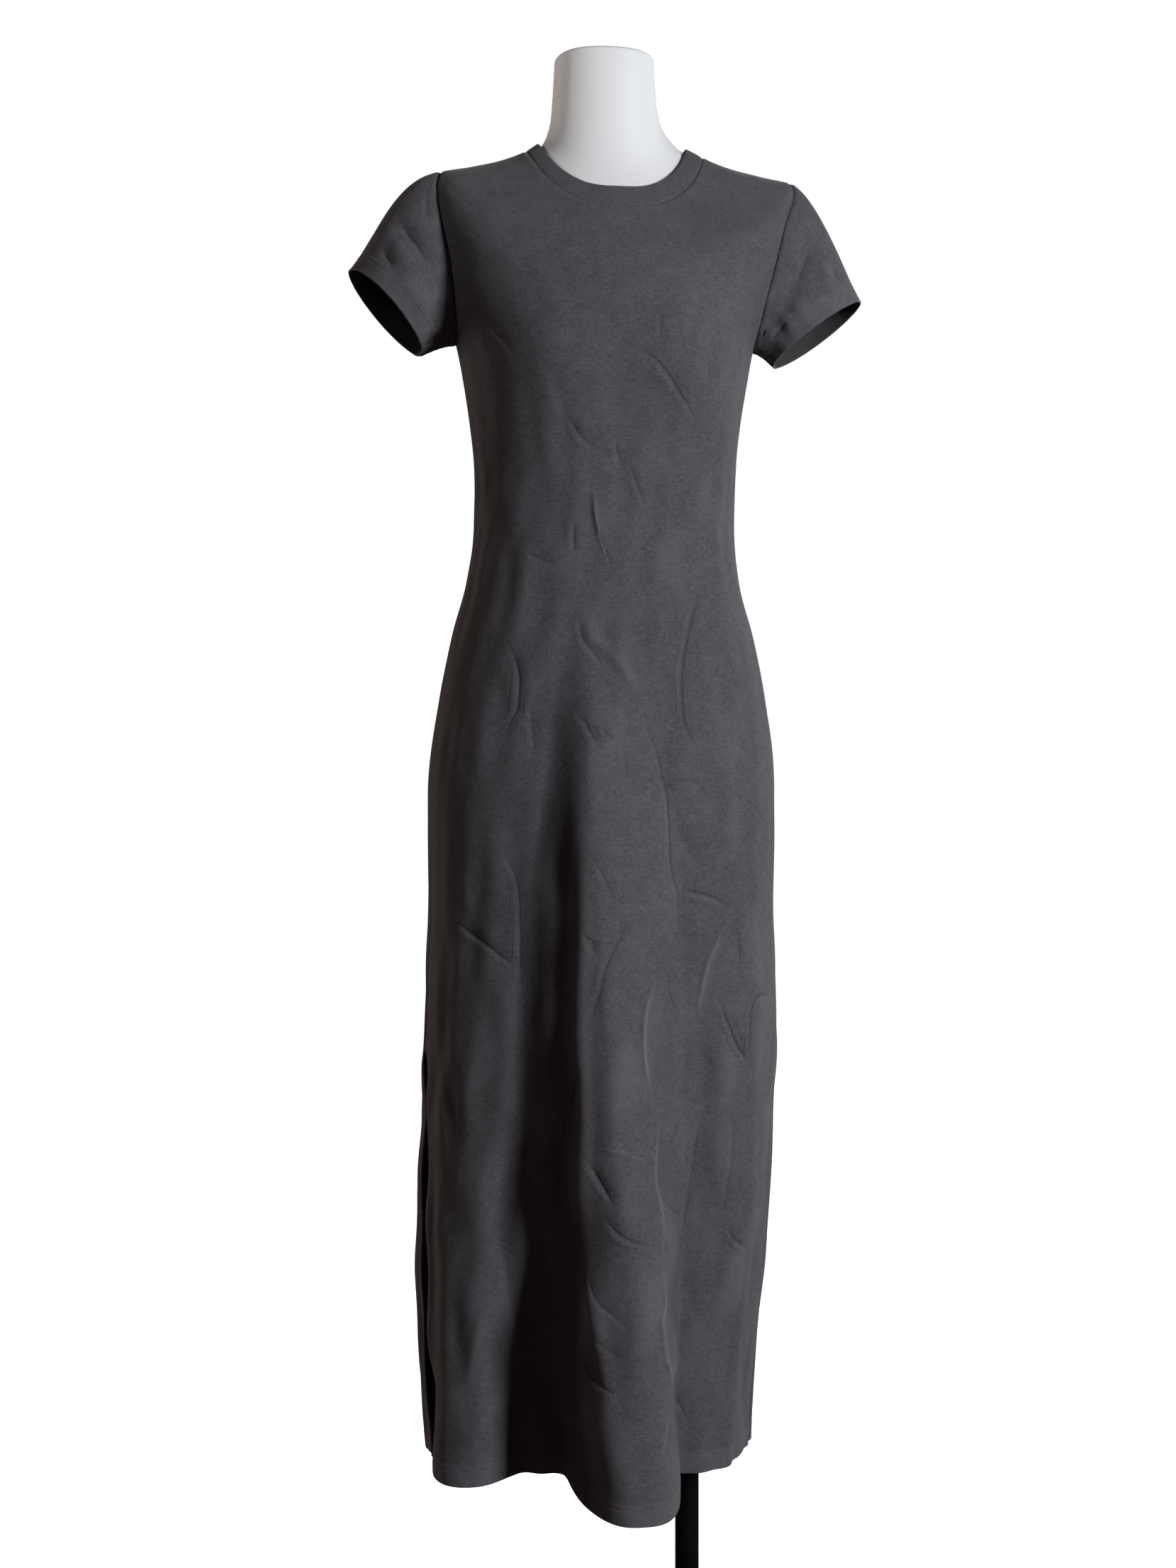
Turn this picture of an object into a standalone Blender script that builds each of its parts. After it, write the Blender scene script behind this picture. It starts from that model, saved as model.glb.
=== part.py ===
"""A short-sleeved T-shirt maxi dress worn by a limbless dress form on a pole stand.

Metres, +Z up. The dress faces -Y, its wearer's left side is +X, and the origin is the
centre of the underside of the stand's round base. One surface function describes the
inner side of the cloth from hem to neck. The dress form is the same surface moved
inwards, so it fills the bodice and carries the cloth at the shoulders, bust and hips.
"""

import math

import bmesh
import bpy
import numpy as np

MM = 0.001

# Cloth and clearances, in millimetres
WALL = 1.2
SEAM_GAP = 0.3
SEAT_GAP = 0.3

# Heights of the body, in millimetres above the floor
HEM_HEIGHT = 208
SLIT_TOP_HEIGHT = 600
FORM_BOTTOM_HEIGHT = 800
FOLD_TOP_HEIGHT = 985
ARMPIT_LEVEL = 1265

# Levels above the armpit follow the side of the body over the shoulder to the neck
SHOULDER_LEVEL = 1425
NECK_SEAM_LEVEL = 1510
NECKBAND_TOP_LEVEL = 1530
NECK_TOP_LEVEL = 1645

# A row for each section of the body: three heights, half width, depth to the front and
# back, place of its middle, and the room between the cloth and the dress form
SECTION_COLUMNS = (
    "level", "front_z", "side_z", "back_z", "half_width",
    "front_depth", "back_depth", "centre_x", "centre_y", "ease",
)
SECTIONS = (
    ("hem", HEM_HEIGHT, 208, 208, 208, 151.5, 100, 78, -6, 30, 20),
    ("shin", 300, 300, 300, 300, 158, 101, 82, -8, 25, 20),
    ("calf", 400, 400, 400, 400, 164, 102, 88, -4.5, 18, 20),
    ("knee", 500, 500, 500, 500, 166, 103, 95, -1, 12, 20),
    ("thigh", 620, 620, 620, 620, 166, 105, 103, 2, 6, 16),
    ("crotch", 740, 740, 740, 740, 162.5, 107, 111, 2, 2, 9),
    ("hip", 840, 840, 840, 840, 163.5, 107, 114, 1, 0, 0.9),
    ("high hip", 930, 930, 930, 930, 153.5, 104, 108, 2, 0, 0.8),
    ("belly", 985, 985, 985, 985, 142.5, 101, 99, 2, 0, 2),
    ("low waist", 1040, 1040, 1040, 1040, 128.5, 96, 89, 2, 0, 5),
    ("waist", 1095, 1095, 1095, 1095, 121.5, 91, 83, 3, 0, 5),
    ("midriff", 1150, 1150, 1150, 1150, 123.5, 94, 85, 4, 0, 4),
    ("underbust", 1190, 1190, 1190, 1190, 127.5, 101, 89, 4, 0, 2.5),
    ("bust", 1235, 1235, 1235, 1235, 134.5, 112, 94, 4, 0, 0.8),
    ("armpit", ARMPIT_LEVEL, 1265, 1265, 1265, 140.5, 114, 97, 4, 0, 0.9),
    ("low armhole", 1300, 1284, 1302, 1289, 150, 113, 98, 5, 0, 0.9),
    ("mid armhole", 1340, 1303, 1346, 1314, 160, 110, 97, 7, 0, 0.9),
    ("high armhole", 1375, 1319, 1387, 1338, 168, 105, 94, 8, 0, 1.1),
    ("shoulder tip", 1405, 1330, 1413, 1354, 171.5, 100, 90, 12, 0, 1.3),
    ("shoulder", SHOULDER_LEVEL, 1339, 1423, 1366, 166.5, 96, 86, 14, 0, 1.1),
    ("mid shoulder", 1452, 1351, 1429, 1388, 140, 89, 77, 14, 0, 0.8),
    ("high shoulder", 1482, 1365, 1436, 1412, 110, 81, 67, 13, 0, 0.8),
    ("neck seam", NECK_SEAM_LEVEL, 1381, 1446, 1434, 84, 72, 56, 12, 0, 1.5),
    ("neckband top", NECKBAND_TOP_LEVEL, 1401, 1454, 1450, 71, 62, 48, 10, 0, 3.5),
    ("neck root", 1552, 1428, 1467, 1464, 60, 54, 46, 6, 0, 3),
    ("low neck", 1575, 1456, 1479, 1477, 54, 51, 45, 4, 0, 2),
    ("mid neck", 1605, 1492, 1503, 1502, 50, 49, 45, 3, 0, 1),
    ("neck top", NECK_TOP_LEVEL, 1534, 1534, 1534, 48, 47, 45, 3, 0, 0.7),
)

# Rounded square: how far a section swells at its four corners, as a share
CORNER_FULLNESS = 0.05
# How sharply the front and back dip between the raised sides above the armpit
SADDLE_POWER = 3

# Soft rounds on the body: side offset from the middle, height, spread and fullness
BUST = {"offset": 78, "height": 1226, "spread": 40, "out": 11}
SEAT = {"offset": 62, "height": 885, "spread": 55, "out": 8}

# Heights at which the folds' depths are given
FOLD_HEIGHTS = (HEM_HEIGHT, 320, 500, 840, FOLD_TOP_HEIGHT)
# A row for each fold of the skirt. Angles are degrees round from the front, + to +X
FOLD_COLUMNS = (
    "hip_angle", "hem_angle", "half_width", "hem_out", "shin_out", "knee_out", "hip_out",
)
FOLDS = (
    ("right thigh lobe", -49, -50, 19.5, 33, 12, 4, 0),
    ("right valley", -26, -24, 17, -21, -10, -3, 0),
    ("left front ridge", 44, 41, 17, 5, 6, 6, 1),
    ("left side hollow", 66, 66, 16, -5, -5, -4, 0),
    ("left side ridge", 101, 104, 18, 9, 8, 6, 1),
    ("left back valley", 128, 130, 17, -10, -9, -6, 0),
    ("left back fold", 150, 153, 20, 34, 29, 20, 2),
    ("mid back valley", 177, 179, 18, -12, -10, -6, 0),
    ("right back fold", 203, 205, 23, 46, 39, 26, 3),
    ("right back valley", 233, 232, 17, -10, -8, -5, 0),
    ("right side ridge", 257, 254, 17, 8, 7, 5, 1),
)
FOLD_CREST_POWER = 2.8
# The large fold off the middle of the front. Its widths are degrees from the crest to the
# foot of each flank, and flatness is 0 for a sharp crest and 1 for a broad flat one
CENTRE_FOLD_COLUMNS = ("level", "crest", "right_width", "left_width", "out", "flatness")
CENTRE_FOLD = (
    ("hem", HEM_HEIGHT, 5.5, 20.5, 20.5, 107, 1),
    ("shin", 330, 4.5, 22, 21, 84, 0.9),
    ("calf", 430, 2, 25, 22, 70, 0.6),
    ("knee", 520, -1.5, 28, 24, 60, 0.3),
    ("thigh", 650, -5, 28, 26, 46, 0.05),
    ("high thigh", 784, -7.5, 20, 27.5, 34, 0),
    ("hip", 855, -8.5, 15, 25, 23, 0),
    ("top", FOLD_TOP_HEIGHT, -9, 12, 18, 0, 0),
)
RIGHT_FLANK_POWER = 1.6
LEFT_FLANK_POWER = 1.5
LEFT_FLANK_SOFTNESS = 1.2
CREST_DIP = 0.09

# Armholes: how far round from the side seam each panel is cut away, in degrees
FRONT_ARMHOLE_CUT = 21
BACK_ARMHOLE_CUT = 21
# The slit on the wearer's right: how far each edge has moved at the hem, in degrees
FRONT_SLIT_SHIFT = 19
BACK_SLIT_SHIFT = 7
SLIT_EDGE_TUCK = 2
SLIT_TUCK_COLUMNS = 5
# Below 1, the slit opens quickly under its top
SLIT_OPENING_POWER = 0.6

# Sleeves, in millimetres: the outer and under ends of the hem as (x, z), how far the cap
# reaches out before it falls, and how far the hem hangs lower at its back
SLEEVES = {
    "sleeve_right": {
        "side": -1, "outer": (-238, 1329), "under": (-171, 1254), "cap": 135, "back_drop": 3,
    },
    "sleeve_left": {
        "side": 1, "outer": (252, 1311), "under": (168, 1252), "cap": 72, "back_drop": 7,
    },
}
SLEEVE_HALF_DEPTH = 43
SLEEVE_FRONT_LIFT = 6
SLEEVE_UNDER_REACH = 22
SLEEVE_FALL = 60
# How the cloth leaves the armhole: its spread to front and back, and its drop, per unit out
SLEEVE_SPREAD = 0.45
SLEEVE_DROP = 0.1

# Steps for measuring the surface's slope, in degrees round and millimetres up
SLOPE_ANGLE = 0.2
SLOPE_RISE = 0.5

# Rows and columns of the meshes
SKIRT_ROWS = 12
BODICE_ROWS = 14
ARMHOLE_ROWS = 10
SHOULDER_ROWS = 4
FRONT_COLUMNS = 34
BACK_COLUMNS = 30
FORM_COLUMNS = 40
SLEEVE_ROWS = 6
NECKBAND_ROWS = 2
NECK_ROWS = 7

# Stand, in millimetres
BASE_RADIUS = 190
BASE_THICKNESS = 6
BASE_BEVEL = 2
POLE_RADIUS = 11.5
POLE_X = 86.5
POLE_Y = 20
SOCKET_RADIUS = 19
SOCKET_HEIGHT = 26
SOCKET_BEVEL = 1.5
ROUND_SIDES = 32
BEVEL_SEGMENTS = 2
SHARP_ANGLE = 35
NECK_DOME = 5
# Rings of the neck's rounded top: share of the neck's size, share of the dome's height
NECK_DOME_RINGS = ((0.93, 0.45), (0.7, 0.8))

CLOTH_COLOUR = (0.085, 0.078, 0.076, 1)
FORM_COLOUR = (0.83, 0.83, 0.84, 1)
STEEL_COLOUR = (0.012, 0.012, 0.013, 1)


def smooth_table(knots, values, at):
    """Monotone cubic through a table's values, so that no row is overshot."""
    knots = np.asarray(knots, float)
    values = np.asarray(values, float)
    steps = np.diff(knots)
    slopes = np.diff(values) / steps
    tangents = np.concatenate([slopes[:1], np.zeros(len(slopes) - 1), slopes[-1:]])
    for i in range(1, len(slopes)):
        before, after = slopes[i - 1], slopes[i]
        if before * after > 0:
            weight_before = 2 * steps[i] + steps[i - 1]
            weight_after = steps[i] + 2 * steps[i - 1]
            total = weight_before + weight_after
            tangents[i] = total / (weight_before / before + weight_after / after)
    at = np.clip(np.asarray(at, float), knots[0], knots[-1])
    i = np.clip(np.searchsorted(knots, at, side="right") - 1, 0, len(steps) - 1)
    t = (at - knots[i]) / steps[i]
    start = (1 + 2 * t) * (1 - t) ** 2 * values[i] + t * (1 - t) ** 2 * steps[i] * tangents[i]
    end = t**2 * (3 - 2 * t) * values[i + 1] - t**2 * (1 - t) * steps[i] * tangents[i + 1]
    return start + end


def section(column, level):
    """One column of the section table at any level."""
    place = SECTION_COLUMNS.index(column) + 1
    levels = [row[1] for row in SECTIONS]
    return smooth_table(levels, [row[place] for row in SECTIONS], level)


def ease_in(value):
    """Smooth step from 0 to 1."""
    value = np.clip(value, 0, 1)
    return value * value * (3 - 2 * value)


def centre_fold(angle, level):
    """The large fold: a steep right flank, a broad left one, and a flat crest at the hem."""
    levels = [row[1] for row in CENTRE_FOLD]
    crest, right, left, out, flatness = (
        smooth_table(levels, [row[place] for row in CENTRE_FOLD], level) for place in range(2, 7)
    )
    turn = (angle - crest + 180) % 360 - 180
    reach = np.clip(np.abs(turn) / np.where(turn < 0, right, left), 0, 1)
    right_flank = (1 - reach**RIGHT_FLANK_POWER) ** 2
    left_flank = (1 - reach**LEFT_FLANK_POWER) ** LEFT_FLANK_SOFTNESS
    flat = (1 - reach**FOLD_CREST_POWER) ** 2
    shape = np.where(turn < 0, right_flank, left_flank)
    return out * (shape + (flat - shape) * flatness)


def fold_depth(angle, level):
    """How far the folds carry the cloth out of the plain section, in millimetres."""
    total = centre_fold(angle, level)
    down = np.clip((FOLD_TOP_HEIGHT - level) / (FOLD_TOP_HEIGHT - HEM_HEIGHT), 0, 1)
    for _, *numbers in FOLDS:
        fold = dict(zip(FOLD_COLUMNS, numbers))
        middle = fold["hip_angle"] + (fold["hem_angle"] - fold["hip_angle"]) * down
        turn = (angle - middle + 180) % 360 - 180
        reach = np.clip(np.abs(turn) / fold["half_width"], 0, 1)
        depths = (fold["hem_out"], fold["shin_out"], fold["knee_out"], fold["hip_out"], 0)
        depth = smooth_table(FOLD_HEIGHTS, depths, level)
        total = total + depth * (1 - reach**FOLD_CREST_POWER) ** 2
    return total


def soft_round(x, z, centre_x, shape):
    """Fullness of a pair of soft rounds, left and right of the middle."""
    total = 0
    for side in (-1, 1):
        across = x - centre_x - side * shape["offset"]
        distance = across**2 + (z - shape["height"]) ** 2
        total = total + shape["out"] * np.exp(-distance / (2 * shape["spread"] ** 2))
    return total


def body_point(angle, level, folded=True):
    """A point of the cloth's inner side, in millimetres, for arrays of angle and level."""
    angle, level = np.broadcast_arrays(np.asarray(angle, float), np.asarray(level, float))
    turn = np.radians(angle)
    across, ahead = np.sin(turn), np.cos(turn)
    half_width = section("half_width", level)
    depth = np.where(ahead > 0, section("front_depth", level), section("back_depth", level))
    full = 1 + CORNER_FULLNESS * np.sin(2 * turn) ** 2
    x = half_width * across * full
    y = -depth * ahead * full
    side_z = section("side_z", level)
    end_z = np.where(ahead > 0, section("front_z", level), section("back_z", level))
    z = end_z + (side_z - end_z) * np.abs(across) ** SADDLE_POWER
    if folded:
        out = fold_depth(angle, level)
        normal = np.stack([across / half_width, -ahead / depth])
        normal = normal / np.linalg.norm(normal, axis=0)
        x = x + out * normal[0]
        y = y + out * normal[1]
        low = ease_in((SLIT_TOP_HEIGHT - level) / (SLIT_TOP_HEIGHT - HEM_HEIGHT))
        z = z - CREST_DIP * np.clip(out, 0, None) * low
    centre_x = section("centre_x", level)
    x = x + centre_x
    y = y + section("centre_y", level)
    y = y - np.where(ahead > 0, soft_round(x, z, centre_x, BUST), 0) * np.abs(ahead)
    y = y + np.where(ahead < 0, soft_round(x, z, centre_x, SEAT), 0) * np.abs(ahead)
    return np.stack([x, y, z], axis=-1)


def body_normal(angle, level, folded=True):
    """Outward normal of the body surface, from small steps round and up."""
    after = body_point(np.add(angle, SLOPE_ANGLE), level, folded)
    before = body_point(np.subtract(angle, SLOPE_ANGLE), level, folded)
    above = body_point(angle, np.add(level, SLOPE_RISE), folded)
    below = body_point(angle, np.subtract(level, SLOPE_RISE), folded)
    normal = np.cross(after - before, above - below)
    return normal / np.linalg.norm(normal, axis=-1, keepdims=True)


def armhole_turns():
    """Angles from 0 at the armpit to 180 at the shoulder, one for each armhole row."""
    return np.linspace(0, math.pi, ARMHOLE_ROWS + 1)


def armhole_levels():
    """Levels of the armhole rows, closer together at its two ends."""
    return ARMPIT_LEVEL + (SHOULDER_LEVEL - ARMPIT_LEVEL) * (1 - np.cos(armhole_turns())) / 2


def cloth_levels():
    """Levels of every row of the front and back, from the hem to the neck seam."""
    skirt = np.linspace(HEM_HEIGHT, FORM_BOTTOM_HEIGHT, SKIRT_ROWS + 1)
    bodice = np.linspace(FORM_BOTTOM_HEIGHT, ARMPIT_LEVEL, BODICE_ROWS + 1)
    shoulder = np.linspace(SHOULDER_LEVEL, NECK_SEAM_LEVEL, SHOULDER_ROWS + 1)
    return np.concatenate([skirt, bodice[1:], armhole_levels()[1:], shoulder[1:]])


def armhole_cut(level, cut):
    """How far the armhole has moved a panel's edge round from the side, in degrees."""
    share = (level - ARMPIT_LEVEL) / (SHOULDER_LEVEL - ARMPIT_LEVEL)
    return cut * 2 * math.sqrt(max(0, share * (1 - share)))


def slit_share(level):
    """0 at the slit's top and above, 1 at the hem."""
    down = (SLIT_TOP_HEIGHT - level) / (SLIT_TOP_HEIGHT - HEM_HEIGHT)
    return float(ease_in(down) ** SLIT_OPENING_POWER)


def panel_edges(level, back):
    """The angles between which a panel runs at a level."""
    cut = armhole_cut(level, BACK_ARMHOLE_CUT if back else FRONT_ARMHOLE_CUT)
    if back:
        return 90 + cut, 270 - cut + BACK_SLIT_SHIFT * slit_share(level)
    return -90 + cut + FRONT_SLIT_SHIFT * slit_share(level), 90 - cut


def even_spacing(back, columns):
    """Shares of a panel's angle that give columns of equal length along the hem."""
    start, end = panel_edges(HEM_HEIGHT, back)
    fine = np.linspace(start, end, 400)
    points = body_point(fine, HEM_HEIGHT)
    lengths = np.linalg.norm(np.diff(points, axis=0), axis=1)
    along = np.concatenate([[0], np.cumsum(lengths)])
    even = np.interp(np.linspace(0, along[-1], columns + 1), along, fine)
    return (even - start) / (end - start)


def panel_angles(level, back, columns):
    """Column angles: even along the hem in the skirt, even in angle in the bodice."""
    start, end = panel_edges(level, back)
    share = float(ease_in((FOLD_TOP_HEIGHT - level) / (FOLD_TOP_HEIGHT - SLIT_TOP_HEIGHT)))
    plain = np.linspace(0, 1, columns + 1)
    spaced = plain + (even_spacing(back, columns) - plain) * share
    return start + (end - start) * spaced


def inset_ends(points):
    """Moves a row's two ends inwards by half a seam gap."""
    for end, neighbour in ((0, 1), (-1, -2)):
        towards = points[neighbour] - points[end]
        points[end] += towards / np.linalg.norm(towards) * SEAM_GAP / 2
    return points


def tuck_slit_edge(points, level, back):
    """Turns the front's slit edge in and the back's slit edge out a little."""
    share = slit_share(level)
    for i in range(SLIT_TUCK_COLUMNS):
        fade = (1 - i / SLIT_TUCK_COLUMNS) ** 2
        if back:
            points[-1 - i][0] -= SLIT_EDGE_TUCK * 0.5 * fade * share
        else:
            points[i][0] += SLIT_EDGE_TUCK * fade * share
    return points


def grid_faces(rows, columns, closed):
    """Quads of a grid whose rows run round to their right, seen from outside."""
    faces = []
    count = columns if closed else columns + 1
    for i in range(rows):
        for j in range(columns):
            after = (j + 1) % count
            low, high = i * count, (i + 1) * count
            faces.append((low + j, low + after, high + after, high + j))
    return faces


def material(name, colour, roughness, metallic=0):
    """A plain Principled material."""
    made = bpy.data.materials.new(name)
    made.use_nodes = True
    surface = made.node_tree.nodes["Principled BSDF"]
    surface.inputs["Base Color"].default_value = colour
    surface.inputs["Roughness"].default_value = roughness
    surface.inputs["Metallic"].default_value = metallic
    return made


def add_object(name, points, faces, look):
    """A smooth-shaded mesh object from points in millimetres."""
    mesh = bpy.data.meshes.new(name)
    mesh.from_pydata([tuple(p * MM) for p in np.asarray(points, float)], [], faces)
    mesh.update()
    mesh.shade_smooth()
    mesh.materials.append(look)
    made = bpy.data.objects.new(name, mesh)
    bpy.context.collection.objects.link(made)
    return made


def thicken(made):
    """Gives a cloth sheet its wall, on its outer side."""
    wall = made.modifiers.new("wall", "SOLIDIFY")
    wall.thickness = WALL * MM
    wall.offset = 1
    wall.use_rim = True
    return made


def add_panel(name, back, columns, cloth):
    """The front or the back of the dress, cut in one piece from hem to neck."""
    rows = []
    for level in cloth_levels():
        points = body_point(panel_angles(level, back, columns), level)
        rows.append(inset_ends(tuck_slit_edge(points, level, back)))
    faces = grid_faces(len(rows) - 1, columns, closed=False)
    return thicken(add_object(name, np.concatenate(rows), faces, cloth))


def add_neckband(cloth):
    """The rib band that stands up round the neck from the neck seam."""
    angles = np.concatenate(
        [
            panel_angles(NECK_SEAM_LEVEL, False, FRONT_COLUMNS)[:-1],
            panel_angles(NECK_SEAM_LEVEL, True, BACK_COLUMNS)[:-1],
        ]
    )
    levels = np.linspace(NECK_SEAM_LEVEL, NECKBAND_TOP_LEVEL, NECKBAND_ROWS + 1)
    rows = [body_point(angles, level) for level in levels]
    upwards = rows[1] - rows[0]
    length = np.linalg.norm(upwards, axis=1, keepdims=True)
    rows[0] = rows[0] + upwards / length * SEAM_GAP * 2
    faces = grid_faces(len(rows) - 1, len(angles), closed=True)
    return thicken(add_object("neckband", np.concatenate(rows), faces, cloth))


def armhole_loop(side):
    """Angles and levels round an armhole: up its front, then down its back."""
    levels = armhole_levels()
    front = [90 - armhole_cut(level, FRONT_ARMHOLE_CUT) for level in levels]
    back = [90 + armhole_cut(level, BACK_ARMHOLE_CUT) for level in levels]
    angles = np.array(front + back[-2:0:-1])
    heights = np.concatenate([levels, levels[-2:0:-1]])
    return angles * side, heights


def add_sleeve(name, side, outer, under, cap, back_drop, cloth):
    """A short set-in sleeve: a tube from the armhole to a tilted oval hem."""
    angles, levels = armhole_loop(side)
    start = body_point(angles, levels)
    normal = body_normal(angles, levels)
    count = len(angles)
    turns = np.linspace(0, 2 * math.pi, count, endpoint=False)
    top_share = (1 - np.cos(turns))[:, None] / 2

    outer = np.array([outer[0], 0, outer[1]], float)
    under = np.array([under[0], 0, under[1]], float)
    centre, half_length = (outer + under) / 2, (outer - under) / 2
    fall = np.cross((0, side, 0), half_length)
    fall = fall / np.linalg.norm(fall)
    end = centre - half_length * np.cos(turns)[:, None]
    end[:, 1] -= SLEEVE_HALF_DEPTH * np.sin(turns)
    end -= fall * SLEEVE_FRONT_LIFT * np.clip(np.sin(turns), 0, 1)[:, None]
    end += fall * back_drop * np.clip(-np.sin(turns), 0, 1)[:, None]

    outwards = np.full(count, float(side))
    leave = np.stack([outwards, -SLEEVE_SPREAD * np.sin(turns), np.full(count, -SLEEVE_DROP)], -1)
    leave /= np.linalg.norm(leave, axis=1, keepdims=True)
    reach = SLEEVE_UNDER_REACH + (cap - SLEEVE_UNDER_REACH) * top_share
    arrive = fall * (SLEEVE_UNDER_REACH + (SLEEVE_FALL - SLEEVE_UNDER_REACH) * top_share)
    facing = np.clip(np.sum(leave * normal, axis=1, keepdims=True), 0, 1)
    start = start + leave * SEAM_GAP + normal * (WALL + SEAM_GAP) * facing

    rows = []
    for t in np.linspace(0, 1, SLEEVE_ROWS + 1):
        place = (2 * t**3 - 3 * t**2 + 1) * start + (3 * t**2 - 2 * t**3) * end
        pull = (t**3 - 2 * t**2 + t) * leave * reach + (t**3 - t**2) * arrive
        rows.append(place + pull)
    if side > 0:
        rows = rows[::-1]
    faces = grid_faces(SLEEVE_ROWS, count, closed=True)
    return thicken(add_object(name, np.concatenate(rows), faces, cloth))


def add_form(look):
    """The smooth limbless form: bodice, shoulders and neck, closed at both ends."""
    bodice = np.linspace(FORM_BOTTOM_HEIGHT, ARMPIT_LEVEL, BODICE_ROWS + 1)
    shoulder = np.linspace(SHOULDER_LEVEL, NECK_SEAM_LEVEL, SHOULDER_ROWS + 1)
    neck = np.linspace(NECK_SEAM_LEVEL, NECK_TOP_LEVEL, NECK_ROWS + 1)
    levels = np.concatenate([bodice, armhole_levels()[1:], shoulder[1:], neck[1:]])
    angles = np.linspace(-180, 180, FORM_COLUMNS, endpoint=False)
    rows = []
    for level in levels:
        plain = body_point(angles, level, folded=False)
        rows.append(plain - body_normal(angles, level, folded=False) * section("ease", level))
    rows[0][:, 2] = FORM_BOTTOM_HEIGHT
    rim = rows[-1]
    middle = rim.mean(axis=0)
    for share, lift in NECK_DOME_RINGS:
        inner = middle + (rim - middle) * share
        inner[:, 2] = rim[:, 2] + NECK_DOME * lift
        rows.append(inner)
    faces = grid_faces(len(rows) - 1, FORM_COLUMNS, closed=True)
    last = len(rows) * FORM_COLUMNS
    faces.append(tuple(range(FORM_COLUMNS - 1, -1, -1)))
    points = np.concatenate([*rows, middle[None] + (0, 0, NECK_DOME)])
    top = last - FORM_COLUMNS
    for j in range(FORM_COLUMNS):
        faces.append((top + j, top + (j + 1) % FORM_COLUMNS, last))
    return add_object("dress_form", points, faces, look)


def add_round(name, radius, low, high, centre, look, bevel=0):
    """An upright disc or rod between two heights."""
    shape = bmesh.new()
    bmesh.ops.create_cone(
        shape,
        cap_ends=True,
        segments=ROUND_SIDES,
        radius1=radius * MM,
        radius2=radius * MM,
        depth=(high - low) * MM,
    )
    mesh = bpy.data.meshes.new(name)
    shape.to_mesh(mesh)
    shape.free()
    mesh.shade_smooth()
    mesh.set_sharp_from_angle(angle=math.radians(SHARP_ANGLE))
    mesh.materials.append(look)
    made = bpy.data.objects.new(name, mesh)
    made.location = (centre[0] * MM, centre[1] * MM, (low + high) / 2 * MM)
    bpy.context.collection.objects.link(made)
    if bevel:
        edge = made.modifiers.new("edge", "BEVEL")
        edge.width = bevel * MM
        edge.segments = BEVEL_SEGMENTS
        edge.angle_limit = math.radians(SHARP_ANGLE)
    return made


def add_stand(look):
    """The round base, the pole off its middle and the socket at each of its ends."""
    low = BASE_THICKNESS + SEAT_GAP
    high = FORM_BOTTOM_HEIGHT - SEAT_GAP
    pole_low = low + SOCKET_HEIGHT + SEAT_GAP
    pole_high = high - SOCKET_HEIGHT - SEAT_GAP
    place = (POLE_X, POLE_Y)
    add_round("base_plate", BASE_RADIUS, 0, BASE_THICKNESS, (0, 0), look, BASE_BEVEL)
    add_round("base_socket", SOCKET_RADIUS, low, low + SOCKET_HEIGHT, place, look, SOCKET_BEVEL)
    add_round("pole", POLE_RADIUS, pole_low, pole_high, place, look)
    add_round("form_socket", SOCKET_RADIUS, high - SOCKET_HEIGHT, high, place, look, SOCKET_BEVEL)


def main():
    for thing in list(bpy.data.objects):
        bpy.data.objects.remove(thing)
    cloth = material("charcoal jersey", CLOTH_COLOUR, 0.9)
    white = material("white form", FORM_COLOUR, 0.45)
    steel = material("black steel", STEEL_COLOUR, 0.4, metallic=0.6)
    add_panel("front", False, FRONT_COLUMNS, cloth)
    add_panel("back", True, BACK_COLUMNS, cloth)
    add_neckband(cloth)
    for name, shape in SLEEVES.items():
        add_sleeve(name, **shape, cloth=cloth)
    add_form(white)
    add_stand(steel)


main()
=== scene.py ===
# %% [markdown]
# # A T-shirt maxi dress on a dress form
#
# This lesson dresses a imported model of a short-sleeved jersey maxi dress. The dress hangs
# on a smooth limbless form on a pole. Each cell makes one thing: the cut panels of cloth,
# their creases, the twin-needle stitches, the form, the stand and the light.

# %% Load the frame
import math

import bmesh
import bpy
import numpy as np
from mathutils.kdtree import KDTree
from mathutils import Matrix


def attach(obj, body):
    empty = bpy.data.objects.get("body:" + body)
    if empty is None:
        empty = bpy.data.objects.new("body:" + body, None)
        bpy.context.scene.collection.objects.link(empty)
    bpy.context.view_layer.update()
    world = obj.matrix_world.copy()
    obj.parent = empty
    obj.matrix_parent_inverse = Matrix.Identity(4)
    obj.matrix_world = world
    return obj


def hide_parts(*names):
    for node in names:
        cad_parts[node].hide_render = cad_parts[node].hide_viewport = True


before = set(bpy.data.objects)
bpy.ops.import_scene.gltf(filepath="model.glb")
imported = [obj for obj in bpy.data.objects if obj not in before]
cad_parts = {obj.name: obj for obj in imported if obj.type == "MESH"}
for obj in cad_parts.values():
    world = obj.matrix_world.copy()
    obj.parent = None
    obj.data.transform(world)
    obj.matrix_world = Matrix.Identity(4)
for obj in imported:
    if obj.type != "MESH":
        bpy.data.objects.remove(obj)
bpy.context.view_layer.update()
MM = 0.001
print("solids in the frame:", sorted(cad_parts))

# %% [markdown]
# ## The camera
#
# The photographer stood about two metres away with the lens level with the dress's hips,
# a few degrees to the wearer's right. A level camera keeps the pole and the body upright,
# so the angle is set by one turn about the vertical.

# %% Camera
VIEW_TURN = math.radians(-7)
CAMERA_HEIGHT = 0.848
CAMERA_DISTANCE = 2.1
CAMERA_SIDE_STEP = -0.0122
LENS = 50.58

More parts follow.
